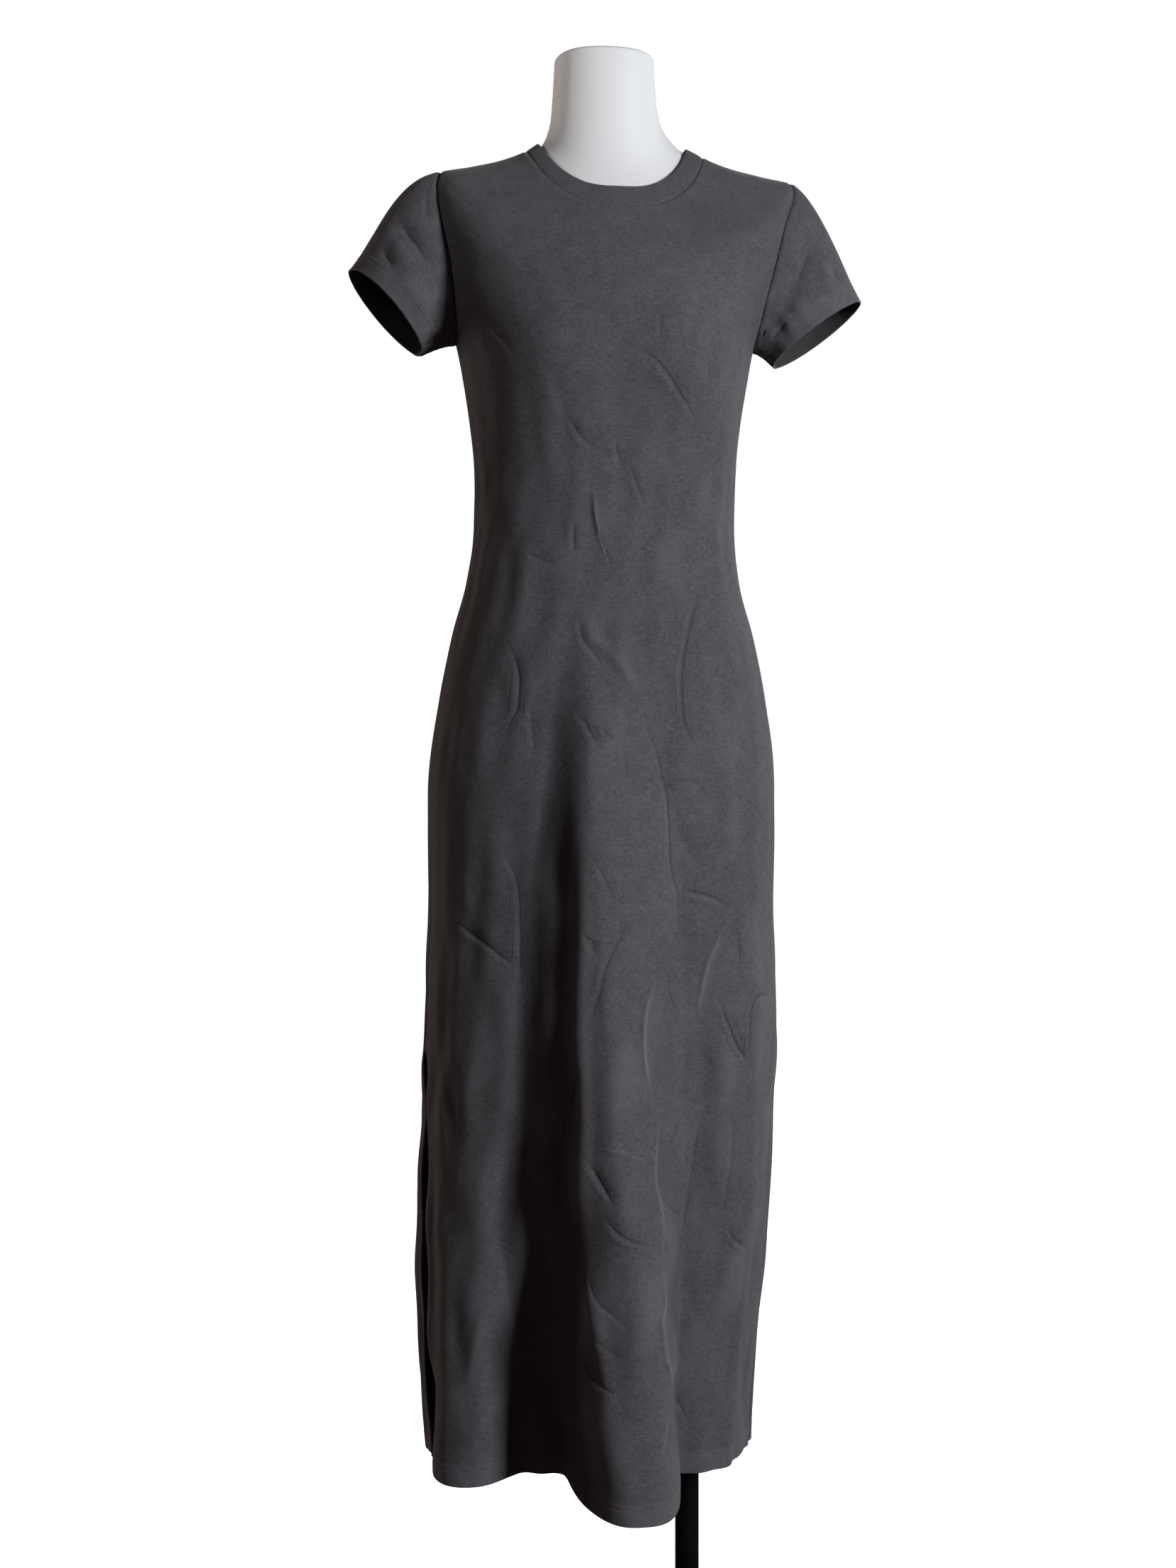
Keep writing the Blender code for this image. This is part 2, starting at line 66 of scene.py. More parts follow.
right = np.array([math.cos(VIEW_TURN), math.sin(VIEW_TURN), 0])
forward = np.array([-math.sin(VIEW_TURN), math.cos(VIEW_TURN), 0])
camera = bpy.data.objects.new("camera", bpy.data.cameras.new("camera"))
bpy.context.collection.objects.link(camera)
camera.data.lens = LENS
camera.location = right * CAMERA_SIDE_STEP - forward * CAMERA_DISTANCE + (0, 0, CAMERA_HEIGHT)
camera.rotation_euler = (math.pi / 2, 0, VIEW_TURN)
bpy.context.scene.camera = camera

# %% [markdown]
# ## The body in numbers
#
# A dressmaker describes a body by girths at named heights. This table does the same: each
# row is a level, with its half width, its depth to front and back and the ease, which is
# the room left between the form and the cloth. Above the armpit a level climbs at the
# side faster than at the front, so that one family of lines reaches the shoulder and neck.

# %% Sections of the body, in millimetres
WALL = 1.2
HEM_HEIGHT = 208
SLIT_TOP_HEIGHT = 600
FORM_BOTTOM_HEIGHT = 800
FOLD_TOP_HEIGHT = 985
ARMPIT_LEVEL = 1265
SHOULDER_LEVEL = 1425
NECK_SEAM_LEVEL = 1510
NECKBAND_TOP_LEVEL = 1530
NECK_TOP_LEVEL = 1645

SECTION_COLUMNS = (
    "level", "front_z", "side_z", "back_z", "half_width",
    "front_depth", "back_depth", "centre_x", "centre_y", "ease",
)
SECTIONS = (
    ("hem", HEM_HEIGHT, 208, 208, 208, 151.5, 100, 78, -6, 30, 20),
    ("shin", 300, 300, 300, 300, 158, 101, 82, -8, 25, 20),
    ("calf", 400, 400, 400, 400, 164, 102, 88, -4.5, 18, 20),
    ("knee", 500, 500, 500, 500, 166, 103, 95, -1, 12, 20),
    ("thigh", 620, 620, 620, 620, 166, 105, 103, 2, 6, 16),
    ("crotch", 740, 740, 740, 740, 162.5, 107, 111, 2, 2, 9),
    ("hip", 840, 840, 840, 840, 163.5, 107, 114, 1, 0, 0.9),
    ("high hip", 930, 930, 930, 930, 153.5, 104, 108, 2, 0, 0.8),
    ("belly", 985, 985, 985, 985, 142.5, 101, 99, 2, 0, 2),
    ("low waist", 1040, 1040, 1040, 1040, 128.5, 96, 89, 2, 0, 5),
    ("waist", 1095, 1095, 1095, 1095, 121.5, 91, 83, 3, 0, 5),
    ("midriff", 1150, 1150, 1150, 1150, 123.5, 94, 85, 4, 0, 4),
    ("underbust", 1190, 1190, 1190, 1190, 127.5, 101, 89, 4, 0, 2.5),
    ("bust", 1235, 1235, 1235, 1235, 134.5, 112, 94, 4, 0, 0.8),
    ("armpit", ARMPIT_LEVEL, 1265, 1265, 1265, 140.5, 114, 97, 4, 0, 0.9),
    ("low armhole", 1300, 1284, 1302, 1289, 150, 113, 98, 5, 0, 0.9),
    ("mid armhole", 1340, 1303, 1346, 1314, 160, 110, 97, 7, 0, 0.9),
    ("high armhole", 1375, 1319, 1387, 1338, 168, 105, 94, 8, 0, 1.1),
    ("shoulder tip", 1405, 1330, 1413, 1354, 171.5, 100, 90, 12, 0, 1.3),
    ("shoulder", SHOULDER_LEVEL, 1339, 1423, 1366, 166.5, 96, 86, 14, 0, 1.1),
    ("mid shoulder", 1452, 1351, 1429, 1388, 140, 89, 77, 14, 0, 0.8),
    ("high shoulder", 1482, 1365, 1436, 1412, 110, 81, 67, 13, 0, 0.8),
    ("neck seam", NECK_SEAM_LEVEL, 1381, 1446, 1434, 84, 72, 56, 12, 0, 1.5),
    ("neckband top", NECKBAND_TOP_LEVEL, 1401, 1454, 1450, 71, 62, 48, 10, 0, 3.5),
    ("neck root", 1552, 1428, 1467, 1464, 60, 54, 46, 6, 0, 3),
    ("low neck", 1575, 1456, 1479, 1477, 54, 51, 45, 4, 0, 2),
    ("mid neck", 1605, 1492, 1503, 1502, 50, 49, 45, 3, 0, 1),
    ("neck top", NECK_TOP_LEVEL, 1534, 1534, 1534, 48, 47, 45, 3, 0, 0.7),
)
CORNER_FULLNESS = 0.05
SADDLE_POWER = 3
BUST = {"offset": 78, "height": 1226, "spread": 40, "out": 11}
SEAT = {"offset": 62, "height": 885, "spread": 55, "out": 8}

# %% Between the rows
def smooth_table(knots, values, at):
    """Monotone cubic through a table's values, so that no row is overshot."""
    knots = np.asarray(knots, float)
    values = np.asarray(values, float)
    steps = np.diff(knots)
    slopes = np.diff(values) / steps
    tangents = np.concatenate([slopes[:1], np.zeros(len(slopes) - 1), slopes[-1:]])
    for i in range(1, len(slopes)):
        before, after = slopes[i - 1], slopes[i]
        if before * after > 0:
            weight_before = 2 * steps[i] + steps[i - 1]
            weight_after = steps[i] + 2 * steps[i - 1]
            total = weight_before + weight_after
            tangents[i] = total / (weight_before / before + weight_after / after)
    at = np.clip(np.asarray(at, float), knots[0], knots[-1])
    i = np.clip(np.searchsorted(knots, at, side="right") - 1, 0, len(steps) - 1)
    t = (at - knots[i]) / steps[i]
    start = (1 + 2 * t) * (1 - t) ** 2 * values[i] + t * (1 - t) ** 2 * steps[i] * tangents[i]
    end = t**2 * (3 - 2 * t) * values[i + 1] - t**2 * (1 - t) * steps[i] * tangents[i + 1]
    return start + end


def section(column, level):
    """One column of the section table at any level."""
    place = SECTION_COLUMNS.index(column) + 1
    levels = [row[1] for row in SECTIONS]
    return smooth_table(levels, [row[place] for row in SECTIONS], level)


def ease_in(value):
    """Smooth step from 0 to 1."""
    value = np.clip(value, 0, 1)
    return value * value * (3 - 2 * value)


def unit(vectors):
    """Vectors brought to length 1."""
    return vectors / np.maximum(np.linalg.norm(vectors, axis=-1, keepdims=True), 1e-9)


# %% [markdown]
# ## The folds of the skirt
#
# Below the hips nothing fills the skirt, so the jersey falls in long folds that grow
# towards the hem. Each fold is a row: where it runs, how wide it is and how far it stands
# out at the hem, the shin, the knee and the hip. The largest, off the middle of the front,
# has its own table, because its two flanks differ: the wearer's right one is steep and
# falls into a deep valley, and the left one slopes broadly.

# %% Folds
FOLD_HEIGHTS = (HEM_HEIGHT, 320, 500, 840, FOLD_TOP_HEIGHT)
FOLD_COLUMNS = (
    "hip_angle", "hem_angle", "half_width", "hem_out", "shin_out", "knee_out", "hip_out",
)
FOLDS = (
    ("right thigh lobe", -49, -50, 19.5, 33, 12, 4, 0),
    ("right valley", -26, -24, 17, -21, -10, -3, 0),
    ("left front ridge", 44, 41, 17, 5, 6, 6, 1),
    ("left side hollow", 66, 66, 16, -5, -5, -4, 0),
    ("left side ridge", 101, 104, 18, 9, 8, 6, 1),
    ("left back valley", 128, 130, 17, -10, -9, -6, 0),
    ("left back fold", 150, 153, 20, 34, 29, 20, 2),
    ("mid back valley", 177, 179, 18, -12, -10, -6, 0),
    ("right back fold", 203, 205, 23, 46, 39, 26, 3),
    ("right back valley", 233, 232, 17, -10, -8, -5, 0),
    ("right side ridge", 257, 254, 17, 8, 7, 5, 1),
)
FOLD_CREST_POWER = 2.8
CREST_DIP = 0.09

# %% The large centre fold
# Each row: name, level, crest angle, width of the right and left flank in degrees, how far
# out in millimetres, and flatness, 0 for a sharp crest and 1 for a broad flat one
CENTRE_FOLD = (
    ("hem", HEM_HEIGHT, 5.5, 20.5, 20.5, 107, 1),
    ("shin", 330, 4.5, 22, 21, 84, 0.9),
    ("calf", 430, 2, 25, 22, 70, 0.6),
    ("knee", 520, -1.5, 28, 24, 60, 0.3),
    ("thigh", 650, -5, 28, 26, 46, 0.05),
    ("high thigh", 784, -7.5, 20, 27.5, 34, 0),
    ("hip", 855, -8.5, 15, 25, 23, 0),
    ("top", FOLD_TOP_HEIGHT, -9, 12, 18, 0, 0),
)
RIGHT_FLANK_POWER = 1.6
LEFT_FLANK_POWER = 1.5
LEFT_FLANK_SOFTNESS = 1.2


def centre_fold(angle, level):
    """The large fold: a steep right flank, a broad left one, and a flat crest at the hem."""
    levels = [row[1] for row in CENTRE_FOLD]
    crest, right, left, out, flatness = (
        smooth_table(levels, [row[place] for row in CENTRE_FOLD], level) for place in range(2, 7)
    )
    turn = (angle - crest + 180) % 360 - 180
    reach = np.clip(np.abs(turn) / np.where(turn < 0, right, left), 0, 1)
    right_flank = (1 - reach**RIGHT_FLANK_POWER) ** 2
    left_flank = (1 - reach**LEFT_FLANK_POWER) ** LEFT_FLANK_SOFTNESS
    flat = (1 - reach**FOLD_CREST_POWER) ** 2
    shape = np.where(turn < 0, right_flank, left_flank)
    return out * (shape + (flat - shape) * flatness)


def fold_depth(angle, level):
    """How far the folds carry the cloth out of the plain section, in millimetres."""
    total = centre_fold(angle, level)
    down = np.clip((FOLD_TOP_HEIGHT - level) / (FOLD_TOP_HEIGHT - HEM_HEIGHT), 0, 1)
    for _, *numbers in FOLDS:
        fold = dict(zip(FOLD_COLUMNS, numbers))
        middle = fold["hip_angle"] + (fold["hem_angle"] - fold["hip_angle"]) * down
        turn = (angle - middle + 180) % 360 - 180
        reach = np.clip(np.abs(turn) / fold["half_width"], 0, 1)
        depths = (fold["hem_out"], fold["shin_out"], fold["knee_out"], fold["hip_out"], 0)
        depth = smooth_table(FOLD_HEIGHTS, depths, level)
        total = total + depth * (1 - reach**FOLD_CREST_POWER) ** 2
    return total


# %% The body surface
SLOPE_ANGLE = 0.2
SLOPE_RISE = 0.5


def soft_round(x, z, centre_x, shape):
    """Fullness of a pair of soft rounds, left and right of the middle."""
    total = 0
    for side in (-1, 1):
        across = x - centre_x - side * shape["offset"]
        distance = across**2 + (z - shape["height"]) ** 2
        total = total + shape["out"] * np.exp(-distance / (2 * shape["spread"] ** 2))
    return total


def body_point(angle, level, folded=True):
    """A point of the cloth's inner side, in millimetres, for arrays of angle and level."""
    angle, level = np.broadcast_arrays(np.asarray(angle, float), np.asarray(level, float))
    turn = np.radians(angle)
    across, ahead = np.sin(turn), np.cos(turn)
    half_width = section("half_width", level)
    depth = np.where(ahead > 0, section("front_depth", level), section("back_depth", level))
    full = 1 + CORNER_FULLNESS * np.sin(2 * turn) ** 2
    x = half_width * across * full
    y = -depth * ahead * full
    side_z = section("side_z", level)
    end_z = np.where(ahead > 0, section("front_z", level), section("back_z", level))
    z = end_z + (side_z - end_z) * np.abs(across) ** SADDLE_POWER
    if folded:
        out = fold_depth(angle, level)
        normal = np.stack([across / half_width, -ahead / depth])
        normal = normal / np.linalg.norm(normal, axis=0)
        x = x + out * normal[0]
        y = y + out * normal[1]
        low = ease_in((SLIT_TOP_HEIGHT - level) / (SLIT_TOP_HEIGHT - HEM_HEIGHT))
        z = z - CREST_DIP * np.clip(out, 0, None) * low
    centre_x = section("centre_x", level)
    x = x + centre_x
    y = y + section("centre_y", level)
    y = y - np.where(ahead > 0, soft_round(x, z, centre_x, BUST), 0) * np.abs(ahead)
    y = y + np.where(ahead < 0, soft_round(x, z, centre_x, SEAT), 0) * np.abs(ahead)
    return np.stack([x, y, z], axis=-1)


def body_normal(angle, level, folded=True):
    """Outward normal of the body surface, from small steps round and up."""
    after = body_point(np.add(angle, SLOPE_ANGLE), level, folded)
    before = body_point(np.subtract(angle, SLOPE_ANGLE), level, folded)
    above = body_point(angle, np.add(level, SLOPE_RISE), folded)
    below = body_point(angle, np.subtract(level, SLOPE_RISE), folded)
    return unit(np.cross(after - before, above - below))


# %% [markdown]
# ## Creases
#
# Between the big folds a worn jersey keeps soft creases: drag lines from bust to side,
# darts at the belly and fold roots at the hip. A cloth simulation would put them where it
# likes, so each is a line of points of its own. The back's were set on the dress. The
# front's were picked in the photo and turned into angles and levels before they came here.
# Each row has a depth, a width and a lean that makes one flank steeper, and positive depths
# are ridges.

# %% Creases of the front, as (angle, level) points
# Each row: name, depth and width in millimetres, lean, points
FRONT_CREASES = (
    ("crest edge", 3.0, 8, -0.2, (
        (-12.75, 858), (-11, 820), (-10.5, 776), (-10.5, 726), (-11, 662),
        (-10.5, 600), (-9.5, 538), (-9.25, 474), (-8.5, 418),
    )),
    ("low crest edge", 2.4, 8, -0.2, (
        (-8.75, 438), (-6, 396), (-3.25, 354), (-1.5, 314), (-0.75, 268),
    )),
    ("valley floor", -2.6, 11, 0.2, (
        (-15.5, 864), (-16.5, 820), (-18.5, 756), (-18.5, 694), (-17.75, 630), (-16, 560),
    )),
    ("valley floor low", -2.4, 12, 0.2, (
        (-16.25, 560), (-15.5, 496), (-13.5, 432), (-10.75, 370), (-8, 310),
    )),
    ("soft front press", 0.35, 5, 0.3, ((-15, 1493), (-8.25, 1395.5), (-7, 1290.5))),
    ("chest press line", -0.6, 2.4, 0.5, ((13.75, 1286), (14.5, 1260), (14.5, 1244))),
    ("bust crease", -1.3, 3, 0.6, (
        (0.75, 1244), (6.25, 1240), (10.5, 1236), (16.75, 1224), (25, 1202), (30.5, 1188), (35.5, 1176),
    )),
    ("bust crease rise", 0.6, 4, 0.4, ((5.75, 1232), (11.5, 1224), (17.75, 1208), (23.75, 1188))),
    ("right chest crease", -0.9, 3.2, 0.5, ((-54.75, 1278.5), (-50, 1260), (-45.25, 1248), (-42, 1236))),
    ("right chest rise", 0.5, 5, 0.3, ((-62.5, 1264), (-56, 1244), (-52.25, 1222))),
    ("right bust drag", -0.5, 5, 0.4, ((-31.25, 1234), (-25.75, 1206), (-22.5, 1180), (-21.5, 1154))),
    ("midriff crease a", -1.1, 2.8, 0.6, ((-20.75, 1180), (-18, 1170), (-15, 1162), (-10.5, 1156))),
    ("midriff crease b", -0.9, 2.6, 0.5, ((-2, 1164), (-0.5, 1150), (2.5, 1134))),
    ("midriff crease c", -1.1, 2.8, 0.6, ((4.25, 1142), (7.5, 1126), (10.75, 1110), (14, 1100))),
    ("waist ridge", 1.4, 3.4, 0.6, (
        (-10.75, 1128), (-10, 1110), (-8.75, 1088), (-6.75, 1072), (-4.25, 1056), (-1.25, 1034),
    )),
    ("waist line left", -1.0, 2.6, 0.6, ((-8.25, 1082), (-6.25, 1070), (-3.75, 1054), (-1, 1038))),
    ("waist line right", -0.9, 2.6, 0.5, ((-18, 1090), (-18.25, 1078), (-18, 1068), (-16.75, 1056))),
    ("belly crease", -0.8, 3, 0.5, ((-38.75, 1062), (-32.75, 1054), (-27.75, 1050), (-22.75, 1044))),
    ("left waist trough", -0.8, 4, 0.5, ((21.75, 1150), (24.25, 1130), (24, 1110), (21.75, 1088))),
    ("hip line", -0.5, 2.4, 0.3, ((-32, 990), (-27, 998), (-21.75, 1004))),
    ("right hip crease", -1.3, 3.2, 0.6, (
        (-41.25, 978), (-37.25, 966), (-34.75, 952), (-33.5, 936),
        (-33.5, 920), (-35.25, 906), (-38.5, 890),
    )),
    ("right hip rise", 0.7, 5, 0.4, ((-44, 964), (-39.25, 944), (-37.75, 918))),
    ("fold root", 1.5, 4.4, 0.5, (
        (-12, 1004), (-9.5, 982), (-5.5, 970), (-0.75, 960), (3.25, 942), (7.5, 920),
    )),
    ("fold root line", -1.0, 2.8, 0.5, ((-14.75, 1000), (-12.5, 980), (-7.75, 964), (-4, 948))),
    ("left hip crease", -1.4, 3.4, 0.6, (
        (36.5, 1040), (32, 1014), (27, 986), (24.25, 964), (22.5, 942),
        (22.25, 916), (23.25, 898), (25.5, 886), (28, 868),
    )),
    ("left hip rise", 0.7, 6, 0.3, ((30, 1028), (24.75, 994), (20, 962), (18.75, 930))),
    ("left waist streak", 0.5, 4, 0.5, ((53.75, 1162), (60.75, 1144), (68.5, 1122))),
    ("right waist streak", 0.6, 4, 0.5, ((-73.75, 1156), (-67.25, 1136), (-71.5, 1116), (-85, 1098))),
    ("belly drag", -0.4, 4, 0.4, ((1.75, 1028), (8, 1006), (12.25, 980))),
    ("right thigh line", -0.9, 2.8, 0.5, ((-28.5, 924), (-28.5, 910), (-27.75, 894), (-26.25, 872))),
    ("hip press line", -0.4, 2.2, 0.2, ((-33, 904), (-25.75, 902), (-18.75, 896))),
    ("crest wrinkle a", -1.2, 2.6, 0.6, ((-13.75, 910), (-11, 904), (-9, 894), (-6.75, 886), (-4.75, 884))),
    ("crest wrinkle b", -0.9, 2.4, 0.6, ((-5.75, 898), (-3.75, 892), (-1.5, 886))),
    ("crest wrinkle c", -1.0, 2.4, 0.6, ((0.75, 878), (2, 866), (2.25, 850))),
    ("thigh press line", -0.35, 2.2, 0.2, (
        (2.25, 854), (8, 852), (13.75, 852), (23.5, 850), (33, 850), (43.5, 848),
    )),
    ("fold edge", -1.3, 3.4, 0.7, (
        (6.75, 928), (9.75, 896), (13, 874), (14.5, 854), (16, 832), (16.25, 808),
        (16.25, 788), (17, 766), (19, 746), (19.25, 722), (17.5, 698),
    )),
    ("fold edge rise", 0.8, 5, 0.5, ((12, 858), (13.25, 832), (13.5, 806), (13.5, 782))),
    ("knee trough", -1.5, 5, 0.5, ((18, 826), (20.75, 798), (24.25, 780), (27.5, 766), (29.75, 756))),
    ("knee ridge", 0.9, 4.5, 0.4, (
        (12.75, 756), (18.25, 750), (23.5, 746), (29.5, 744), (34.5, 734), (37.5, 726), (40.25, 718),
    )),
    ("knee line", -1.3, 2.6, 0.5, ((18.25, 754), (24, 750), (30, 746), (35, 740), (38.25, 730))),
    ("knee edge", -1.0, 3.2, 0.6, ((38, 728), (41, 714), (41.75, 694), (40.75, 668))),
    ("long knee ridge", 1.5, 2.8, 0.6, (
        (36, 724), (33.25, 704), (30.25, 688), (28.25, 670), (27, 654), (26.25, 642), (28.75, 628),
    )),
    ("left thigh rise", 0.8, 6, 0.4, ((44, 864), (43, 838), (39.5, 820), (38.25, 786), (38.75, 754))),
    ("left thigh hollow", -0.8, 7, 0.4, ((33.5, 858), (31.75, 826), (30.25, 794))),
    ("left side line", -0.7, 3, 0.5, ((41.5, 840), (51, 826), (58, 808))),
    ("calf crease", -1.9, 3, 0.6, (
        (32.75, 656), (34.75, 640), (37.25, 624), (40.25, 606), (44.25, 592), (48.25, 576),
    )),
    ("calf branch", -1.3, 3, 0.5, ((65, 648), (51.25, 652), (47, 640), (45.5, 618), (44.5, 590))),
    ("calf rise", 0.9, 4, 0.4, ((37, 644), (41, 624), (43, 606))),
    ("paren ridge", 1.6, 2.8, 0.6, (
        (10.25, 676), (8.5, 660), (6.5, 646), (5.75, 628),
        (5.5, 612), (6.25, 590), (8, 572), (9.75, 558),
    )),
    ("fold side line", -1.0, 3, 0.5, ((15.5, 688), (15.25, 664), (17.5, 646), (20.5, 630))),
    ("shin pleat", -0.8, 3.6, 0.5, (
        (30.25, 562), (27.25, 526), (25.5, 480), (24.25, 454), (21.75, 426), (17.25, 404),
    )),
    ("fold diagonal", -1.2, 3.2, 0.5, (
        (-2, 744), (-0.75, 728), (-0.5, 712), (-3, 698),
        (-5.25, 680), (-6, 668), (-7.75, 650), (-10, 626),
    )),
    ("fold upper line", -0.9, 3, 0.5, ((-9.75, 788), (-6.75, 774), (-3.75, 754), (-1.75, 738))),
    ("fold nick", -1.2, 2.4, 0.5, ((-11, 716), (-8.75, 708), (-6.75, 702))),
    ("fold nick low", -0.7, 2.4, 0.5, ((-10.5, 710), (-8.75, 704), (-7, 696))),
    ("right thigh crease", -1.3, 2.8, 0.5, (
        (-62, 722), (-54.75, 718), (-49.25, 710), (-43, 702), (-37.75, 692), (-33, 684), (-29.75, 678),
    )),
    ("right lobe edge", -0.9, 3.4, 0.6, (
        (-36.75, 798), (-35.75, 782), (-32.75, 762), (-31.75, 746),
        (-31.25, 720), (-30.75, 684), (-29.5, 646),
    )),
    ("right lobe rise", 0.9, 6, 0.4, ((-52.75, 772), (-52.5, 746), (-50.5, 722))),
    ("spine ridge a", 1.5, 2.8, 0.5, (
        (9.75, 558), (10.75, 548), (9.75, 514), (9.5, 498), (11, 472), (11.75, 448), (10.75, 426),
    )),
    ("spine ridge b", 1.6, 3, 0.5, (
        (10.75, 430), (11.5, 410), (12.5, 384), (11.25, 376),
        (12, 362), (13.25, 340), (15, 320), (15, 290),
    )),
    ("spine ridge c", 1.1, 3, 0.5, ((17, 374), (17.75, 332), (14.5, 312))),
    ("spine ridge d", 0.9, 3.4, 0.4, ((15, 300), (11.75, 276), (9.75, 252))),
    ("spine facet", -0.8, 2.6, 0.5, ((19.5, 550), (18.75, 536), (15, 518), (11.5, 502))),
    ("spine nick a", -0.9, 2.4, 0.5, ((11.75, 480), (14.5, 468), (21, 454))),
    ("spine nick b", -0.9, 2.4, 0.5, ((11.75, 442), (14, 424))),
    ("shin crease a", -1.7, 3.2, 0.6, ((-8.5, 516), (-6.25, 502), (-4.5, 492), (-2.75, 482), (-1.25, 474))),
    ("shin crease b", -1.4, 3, 0.5, ((-4.25, 468), (-2.25, 458), (0.5, 450), (4.5, 444), (8.75, 438))),
    ("shin ridge", 0.7, 2.8, 0.4, ((-7.25, 526), (-2.25, 524), (3.5, 516), (8.75, 510))),
    ("shin press line", 0.35, 2.2, 0.2, ((-6, 426), (1, 428), (9, 426))),
    ("long left trough", -0.7, 3.4, 0.6, (
        (38.5, 552), (39.25, 512), (38.25, 482), (37.5, 458), (36.25, 436),
    )),
    ("left shin crease", -1.4, 3, 0.6, ((39.25, 442), (41.75, 428), (48.75, 414))),
    ("left edge dart", -1.0, 2.6, 0.5, ((49.5, 494), (53, 468), (61.5, 442))),
    ("hem crease a", -1.1, 3.2, 0.5, ((-7.75, 344), (-5.5, 328), (-2.5, 320), (1.25, 316))),
    ("hem crease b", -0.7, 3, 0.5, ((-8.25, 424), (-4.75, 394), (0.5, 378), (4.5, 366))),
    ("hem crease c", -0.6, 2.8, 0.5, ((-5.25, 362), (-2.25, 354), (1.75, 344))),
    ("hem left line", -1.0, 3, 0.5, ((16.75, 308), (28.5, 264), (31, 244))),
    ("hem left rise", 0.7, 5, 0.4, ((41, 332), (41.75, 290), (41, 250))),
    ("left shin line", -0.6, 4, 0.4, ((26.5, 394), (29.75, 356), (34, 348))),
    ("valley line a", -0.8, 3, 0.5, (
        (-13.25, 564), (-15.25, 532), (-16.5, 496), (-15.25, 458), (-14.5, 432),
    )),
    ("valley line b", -0.7, 3.4, 0.5, ((-10.5, 600), (-12.25, 574), (-13, 548))),
    ("right lobe line", -0.8, 4, 0.5, (
        (-36.25, 444), (-35.5, 426), (-33.25, 402), (-32.25, 380), (-28.75, 344), (-29, 302),
    )),
    ("right lobe crest", 0.9, 4, 0.4, (
        (-40.75, 400), (-38, 376), (-40.75, 352), (-42.25, 334), (-43.75, 312), (-45, 276),
    )),
    ("right lobe pit", -0.5, 2.4, 0.4, ((-38, 272), (-36, 258), (-35.75, 238))),
)

# %% Creases of the back, of the same kinds
BACK_CREASES = (
    ("blade crease right", -0.8, 3.2, 0.5, ((222, 1330), (214, 1290), (204, 1250), (198, 1220))),
    ("blade crease left", -0.7, 3.2, -0.4, ((138, 1320), (146, 1280), (154, 1245))),
    ("waist roll a", -1.0, 3.2, 0.5, ((128, 1128), (146, 1120), (163, 1116), (176, 1118))),
    ("waist roll b", -1.1, 3.2, -0.5, ((232, 1112), (214, 1102), (199, 1098), (184, 1102))),
    ("waist roll c", 0.9, 5, 0.3, ((136, 1086), (158, 1076), (182, 1074), (206, 1080))),
    ("seat drag left", -0.9, 3.2, 0.4, ((116, 1010), (130, 984), (146, 962), (158, 948))),
    ("seat drag right", -1.0, 3.2, -0.5, ((244, 1004), (230, 980), (216, 958), (205, 946))),
    ("spine hollow", -0.8, 12, 0, ((180, 1230), (181, 1180), (180, 1120), (179, 1060))),
    ("hip crease left", -1.1, 3.2, 0.5, ((128, 920), (134, 895), (138, 865), (137, 840))),
    ("hip rise right", 0.9, 4, -0.4, ((236, 900), (229, 878), (224, 850))),
    ("seat crease", -0.9, 3.2, 0.3, ((166, 842), (178, 834), (192, 838))),
    ("thigh crease left", -1.2, 3.2, 0.5, ((150, 742), (157, 716), (160, 690), (158, 662))),
    ("thigh crease right", -1.1, 3.2, -0.5, ((214, 730), (207, 700), (205, 668))),
    ("knee crease", -1.4, 3.2, 0.6, ((190, 640), (199, 622), (210, 610))),
    ("knee ridge", 1.3, 3, 0.5, ((170, 640), (173, 610), (174, 578), (171, 545))),
    ("knee dart left", 1.0, 4, 0.4, ((138, 610), (148, 590), (156, 574))),
    ("knee dart right", -1.3, 3.2, 0.5, ((226, 600), (217, 580), (208, 566))),
    ("calf crease left", -1.5, 3.2, -0.6, ((146, 540), (142, 518), (135, 500))),
    ("calf dart", -1.0, 3.2, 0.4, ((176, 520), (186, 500), (194, 476))),
    ("calf crease right", -1.2, 3.2, 0.5, ((220, 500), (214, 478), (211, 450))),
    ("shin line", -0.9, 3, 0.5, ((192, 440), (194, 405), (191, 370))),
    ("shin dart left", -1.0, 3.2, -0.4, ((146, 420), (152, 396), (150, 366))),
    ("shin dart right", 0.9, 4, 0.4, ((212, 398), (206, 370), (208, 340))),
    ("ankle crease", -1.1, 3.2, -0.5, ((160, 360), (166, 342), (174, 330))),
    ("press line seat", -0.35, 4, 0, ((130, 856), (160, 852), (200, 852), (232, 856))),
)
print("creases:", len(FRONT_CREASES), "in front,", len(BACK_CREASES), "behind")

# %% How a crease shapes the cloth
CREASE_REACH = 3
LEAN_SPREAD = 1.6
BROAD_CREASE = 3.6
LINE_REACH = 8.0
CREASE_STEP = 3
CREASE_FADE = 0.36


def smooth_line(points):
    """A dense smooth line through a crease's points."""
    points = np.array(points, float)
    length = np.concatenate([[0], np.cumsum(np.linalg.norm(np.diff(points, axis=0), axis=1))])
    count = max(6, int(length[-1] / CREASE_STEP))
    along = np.linspace(0, length[-1], count)
    return smooth_table(length, points[:, 0], along), smooth_table(length, points[:, 1], along)


